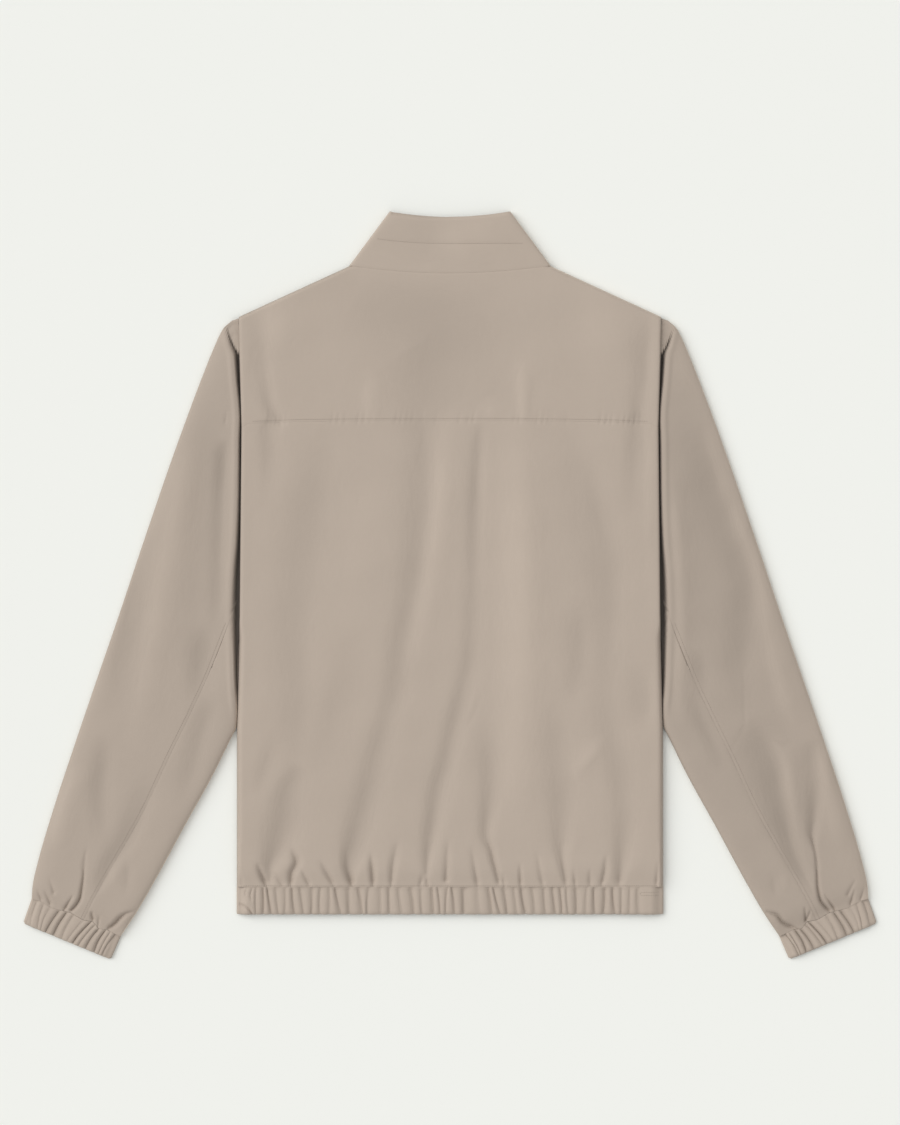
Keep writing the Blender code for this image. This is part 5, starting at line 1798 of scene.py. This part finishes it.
class JacketLooks(bpy.types.PropertyGroup):
    """Colours and finishes."""

    cloth_color: FloatVectorProperty(name="Cloth", description="Colour of the shell cloth",
                                     subtype="COLOR", default=(0.455, 0.380, 0.314), min=0.0, max=1.0)
    tape_color: FloatVectorProperty(name="Zip tape", description="Colour of the zip tape",
                                    subtype="COLOR", default=(0.400, 0.335, 0.278), min=0.0, max=1.0)
    thread_color: FloatVectorProperty(name="Thread", description="Colour of the sewing thread",
                                      subtype="COLOR", default=(0.360, 0.298, 0.245), min=0.0, max=1.0)
    metal_color: FloatVectorProperty(name="Metal", description="Colour of the slider and tab",
                                     subtype="COLOR", default=(0.46, 0.44, 0.42), min=0.0, max=1.0)
    floor_color: FloatVectorProperty(name="Floor", description="Colour of the floor",
                                     subtype="COLOR", default=(0.871, 0.880, 0.838), min=0.0, max=1.0)
    cloth_roughness: FloatProperty(name="Cloth roughness", description="How matt the cloth is",
                                   subtype="FACTOR", default=0.66, min=0.0, max=1.0)
    thread_pitch: FloatProperty(name="Weave pitch", description="Distance between two threads",
                                unit="LENGTH", default=0.00042, min=0.0001, max=0.003, precision=5)


class JacketSizes(bpy.types.PropertyGroup):
    """Sizes of the gathers, the thread and the zip's coil."""

    hem_gathers: FloatProperty(name="Hem gathers", description="How deep the hem's gathers are",
                               unit="LENGTH", default=0.0032, min=0.0, max=0.005, precision=4)
    cuff_gathers: FloatProperty(name="Cuff gathers", description="How deep the cuffs' gathers are",
                                unit="LENGTH", default=0.0030, min=0.0, max=0.004, precision=4)
    stitch_length: FloatProperty(name="Stitch length", description="Length of a stitch that shows",
                                 unit="LENGTH", default=0.0017, min=0.0005, max=0.01, precision=4)
    stitch_pitch: FloatProperty(name="Stitch pitch", description="From one stitch to the next",
                                unit="LENGTH", default=0.0023, min=0.001, max=0.02, precision=4)
    thread_radius: FloatProperty(name="Thread radius", description="Half the sewing thread's width",
                                 unit="LENGTH", default=0.0003, min=0.0001, max=0.001, precision=5)
    coil_pitch: FloatProperty(name="Coil pitch", description="From one turn of the coil to the next",
                              unit="LENGTH", default=0.0016, min=0.001, max=0.005, precision=4)


def millimetres(length):
    """A length from the settings, without the stray digits of its storage."""
    return round(length / MM, 4)


def finished(operator, pieces):
    """What an operator hands back once its pieces are there."""
    if not pieces:
        raise RuntimeError(operator.bl_label + " made nothing")
    return {"FINISHED"}


class JACKET_OT_back(bpy.types.Operator):
    """Build the back and its yoke"""

    bl_idname = "jacket.back"
    bl_label = "Back"
    bl_options = {"REGISTER", "UNDO"}

    def execute(self, context):
        return finished(self, build_back(finish_named("shell_nylon")))


class JACKET_OT_fronts(bpy.types.Operator):
    """Build both fronts"""

    bl_idname = "jacket.fronts"
    bl_label = "Fronts"
    bl_options = {"REGISTER", "UNDO"}

    def execute(self, context):
        return finished(self, build_fronts(finish_named("shell_nylon")))


class JACKET_OT_sleeves(bpy.types.Operator):
    """Build the upper and under panels of both sleeves"""

    bl_idname = "jacket.sleeves"
    bl_label = "Sleeves"
    bl_options = {"REGISTER", "UNDO"}

    def execute(self, context):
        return finished(self, build_sleeves(finish_named("shell_nylon")))


class JACKET_OT_cuffs(bpy.types.Operator):
    """Build both gathered cuffs"""

    bl_idname = "jacket.cuffs"
    bl_label = "Cuffs"
    bl_options = {"REGISTER", "UNDO"}

    def execute(self, context):
        depth = millimetres(context.scene.jacket_sizes.cuff_gathers)
        return finished(self, build_cuffs(finish_named("band_nylon"), depth))


class JACKET_OT_hem(bpy.types.Operator):
    """Build the gathered hem band"""

    bl_idname = "jacket.hem"
    bl_label = "Hem band"
    bl_options = {"REGISTER", "UNDO"}

    def execute(self, context):
        depth = millimetres(context.scene.jacket_sizes.hem_gathers)
        return finished(self, build_hem(finish_named("band_nylon"), depth))


class JACKET_OT_collar(bpy.types.Operator):
    """Build the stand collar"""

    bl_idname = "jacket.collar"
    bl_label = "Collar"
    bl_options = {"REGISTER", "UNDO"}

    def execute(self, context):
        return finished(self, build_collar(finish_named("collar_nylon")))


class JACKET_OT_zip(bpy.types.Operator):
    """Build the zip's tapes and coil, and finish its metal"""

    bl_idname = "jacket.zip"
    bl_label = "Zip"
    bl_options = {"REGISTER", "UNDO"}

    def execute(self, context):
        pitch = millimetres(context.scene.jacket_sizes.coil_pitch)
        tape, metal = finish_named("tape_weave"), finish_named("slider_metal")
        return finished(self, build_zip(tape, metal, pitch))


class JACKET_OT_stitching(bpy.types.Operator):
    """Sew the visible rows of stitches"""

    bl_idname = "jacket.stitching"
    bl_label = "Stitching"
    bl_options = {"REGISTER", "UNDO"}

    def execute(self, context):
        given = context.scene.jacket_sizes
        sizes = [millimetres(size)
                 for size in (given.stitch_length, given.stitch_pitch, given.thread_radius)]
        return finished(self, build_stitching(finish_named("sewing_thread"), sizes))


class JACKET_OT_stage(bpy.types.Operator):
    """Set up the floor, the lights and the camera above the jacket"""

    bl_idname = "jacket.stage"
    bl_label = "Stage"
    bl_options = {"REGISTER", "UNDO"}

    def execute(self, context):
        return finished(self, build_stage(finish_named("floor_paper")))


def soft_sun(name, direction, strength, spread):
    """A broad even light that comes from a direction."""
    data = bpy.data.lights.new(name, "SUN")
    data.energy = strength
    data.angle = math.radians(spread)
    light = bpy.data.objects.new(name, data)
    light.location = direction
    light.rotation_euler = (-Vector(direction)).to_track_quat("-Z", "Y").to_euler()
    bpy.context.scene.collection.objects.link(light)
    return light


def build_stage(finish):
    """The floor, the even light of the room, both lamps and the camera."""
    scene = bpy.context.scene
    grid = bmesh.new()
    bmesh.ops.create_grid(grid, x_segments=8, y_segments=8, size=FLOOR_HALF_WIDTH)
    mesh = bpy.data.meshes.new("floor")
    grid.to_mesh(mesh)
    grid.free()
    mesh.materials.append(finish)
    floor = bpy.data.objects.new("floor", mesh)
    scene.collection.objects.link(floor)

    world = bpy.data.worlds.new("studio")
    world.use_nodes = True
    background = world.node_tree.nodes["Background"]
    background.inputs["Color"].default_value = (1.0, 1.0, 1.0, 1.0)
    background.inputs["Strength"].default_value = ROOM_LIGHT
    scene.world = world
    lights = [soft_sun(*lamp) for lamp in LAMPS]
    data = bpy.data.cameras.new("camera")
    data.sensor_width = SENSOR
    data.sensor_fit = "AUTO"
    data.lens = CAMERA_LENS
    camera = bpy.data.objects.new("camera", data)
    camera.location = (0.0, VIEW_CENTRE_Y, FRAME_HEIGHT * CAMERA_LENS / SENSOR + 0.005)
    scene.collection.objects.link(camera)
    scene.camera = camera
    scene.view_settings.view_transform = "Standard"
    return [floor, camera] + lights


class JACKET_PT_build(bpy.types.Panel):
    """Lists the looks, the sizes and the pieces"""

    bl_label = "Bomber jacket"
    bl_space_type = "VIEW_3D"
    bl_region_type = "UI"
    bl_category = "Jacket"

    def draw(self, context):
        for group in (context.scene.jacket_looks, context.scene.jacket_sizes):
            for name in type(group).__annotations__:
                self.layout.prop(group, name)
        for operator in OPERATORS:
            self.layout.operator(operator.bl_idname)


OPERATORS = (
    JACKET_OT_stage,
    JACKET_OT_fronts,
    JACKET_OT_zip,
    JACKET_OT_back,
    JACKET_OT_sleeves,
    JACKET_OT_cuffs,
    JACKET_OT_hem,
    JACKET_OT_collar,
    JACKET_OT_stitching,
)
CLASSES = (JacketLooks, JacketSizes) + OPERATORS + (JACKET_PT_build,)


def register():
    for item in CLASSES:
        bpy.utils.register_class(item)
    bpy.types.Scene.jacket_looks = PointerProperty(type=JacketLooks)
    bpy.types.Scene.jacket_sizes = PointerProperty(type=JacketSizes)


def unregister():
    del bpy.types.Scene.jacket_sizes
    del bpy.types.Scene.jacket_looks
    for item in reversed(CLASSES):
        bpy.utils.unregister_class(item)


def main():
    register()
    for operator in OPERATORS:
        group, name = operator.bl_idname.split(".")
        getattr(getattr(bpy.ops, group), name)()
    bpy.context.view_layer.update()


if __name__ == "__main__":
    main()
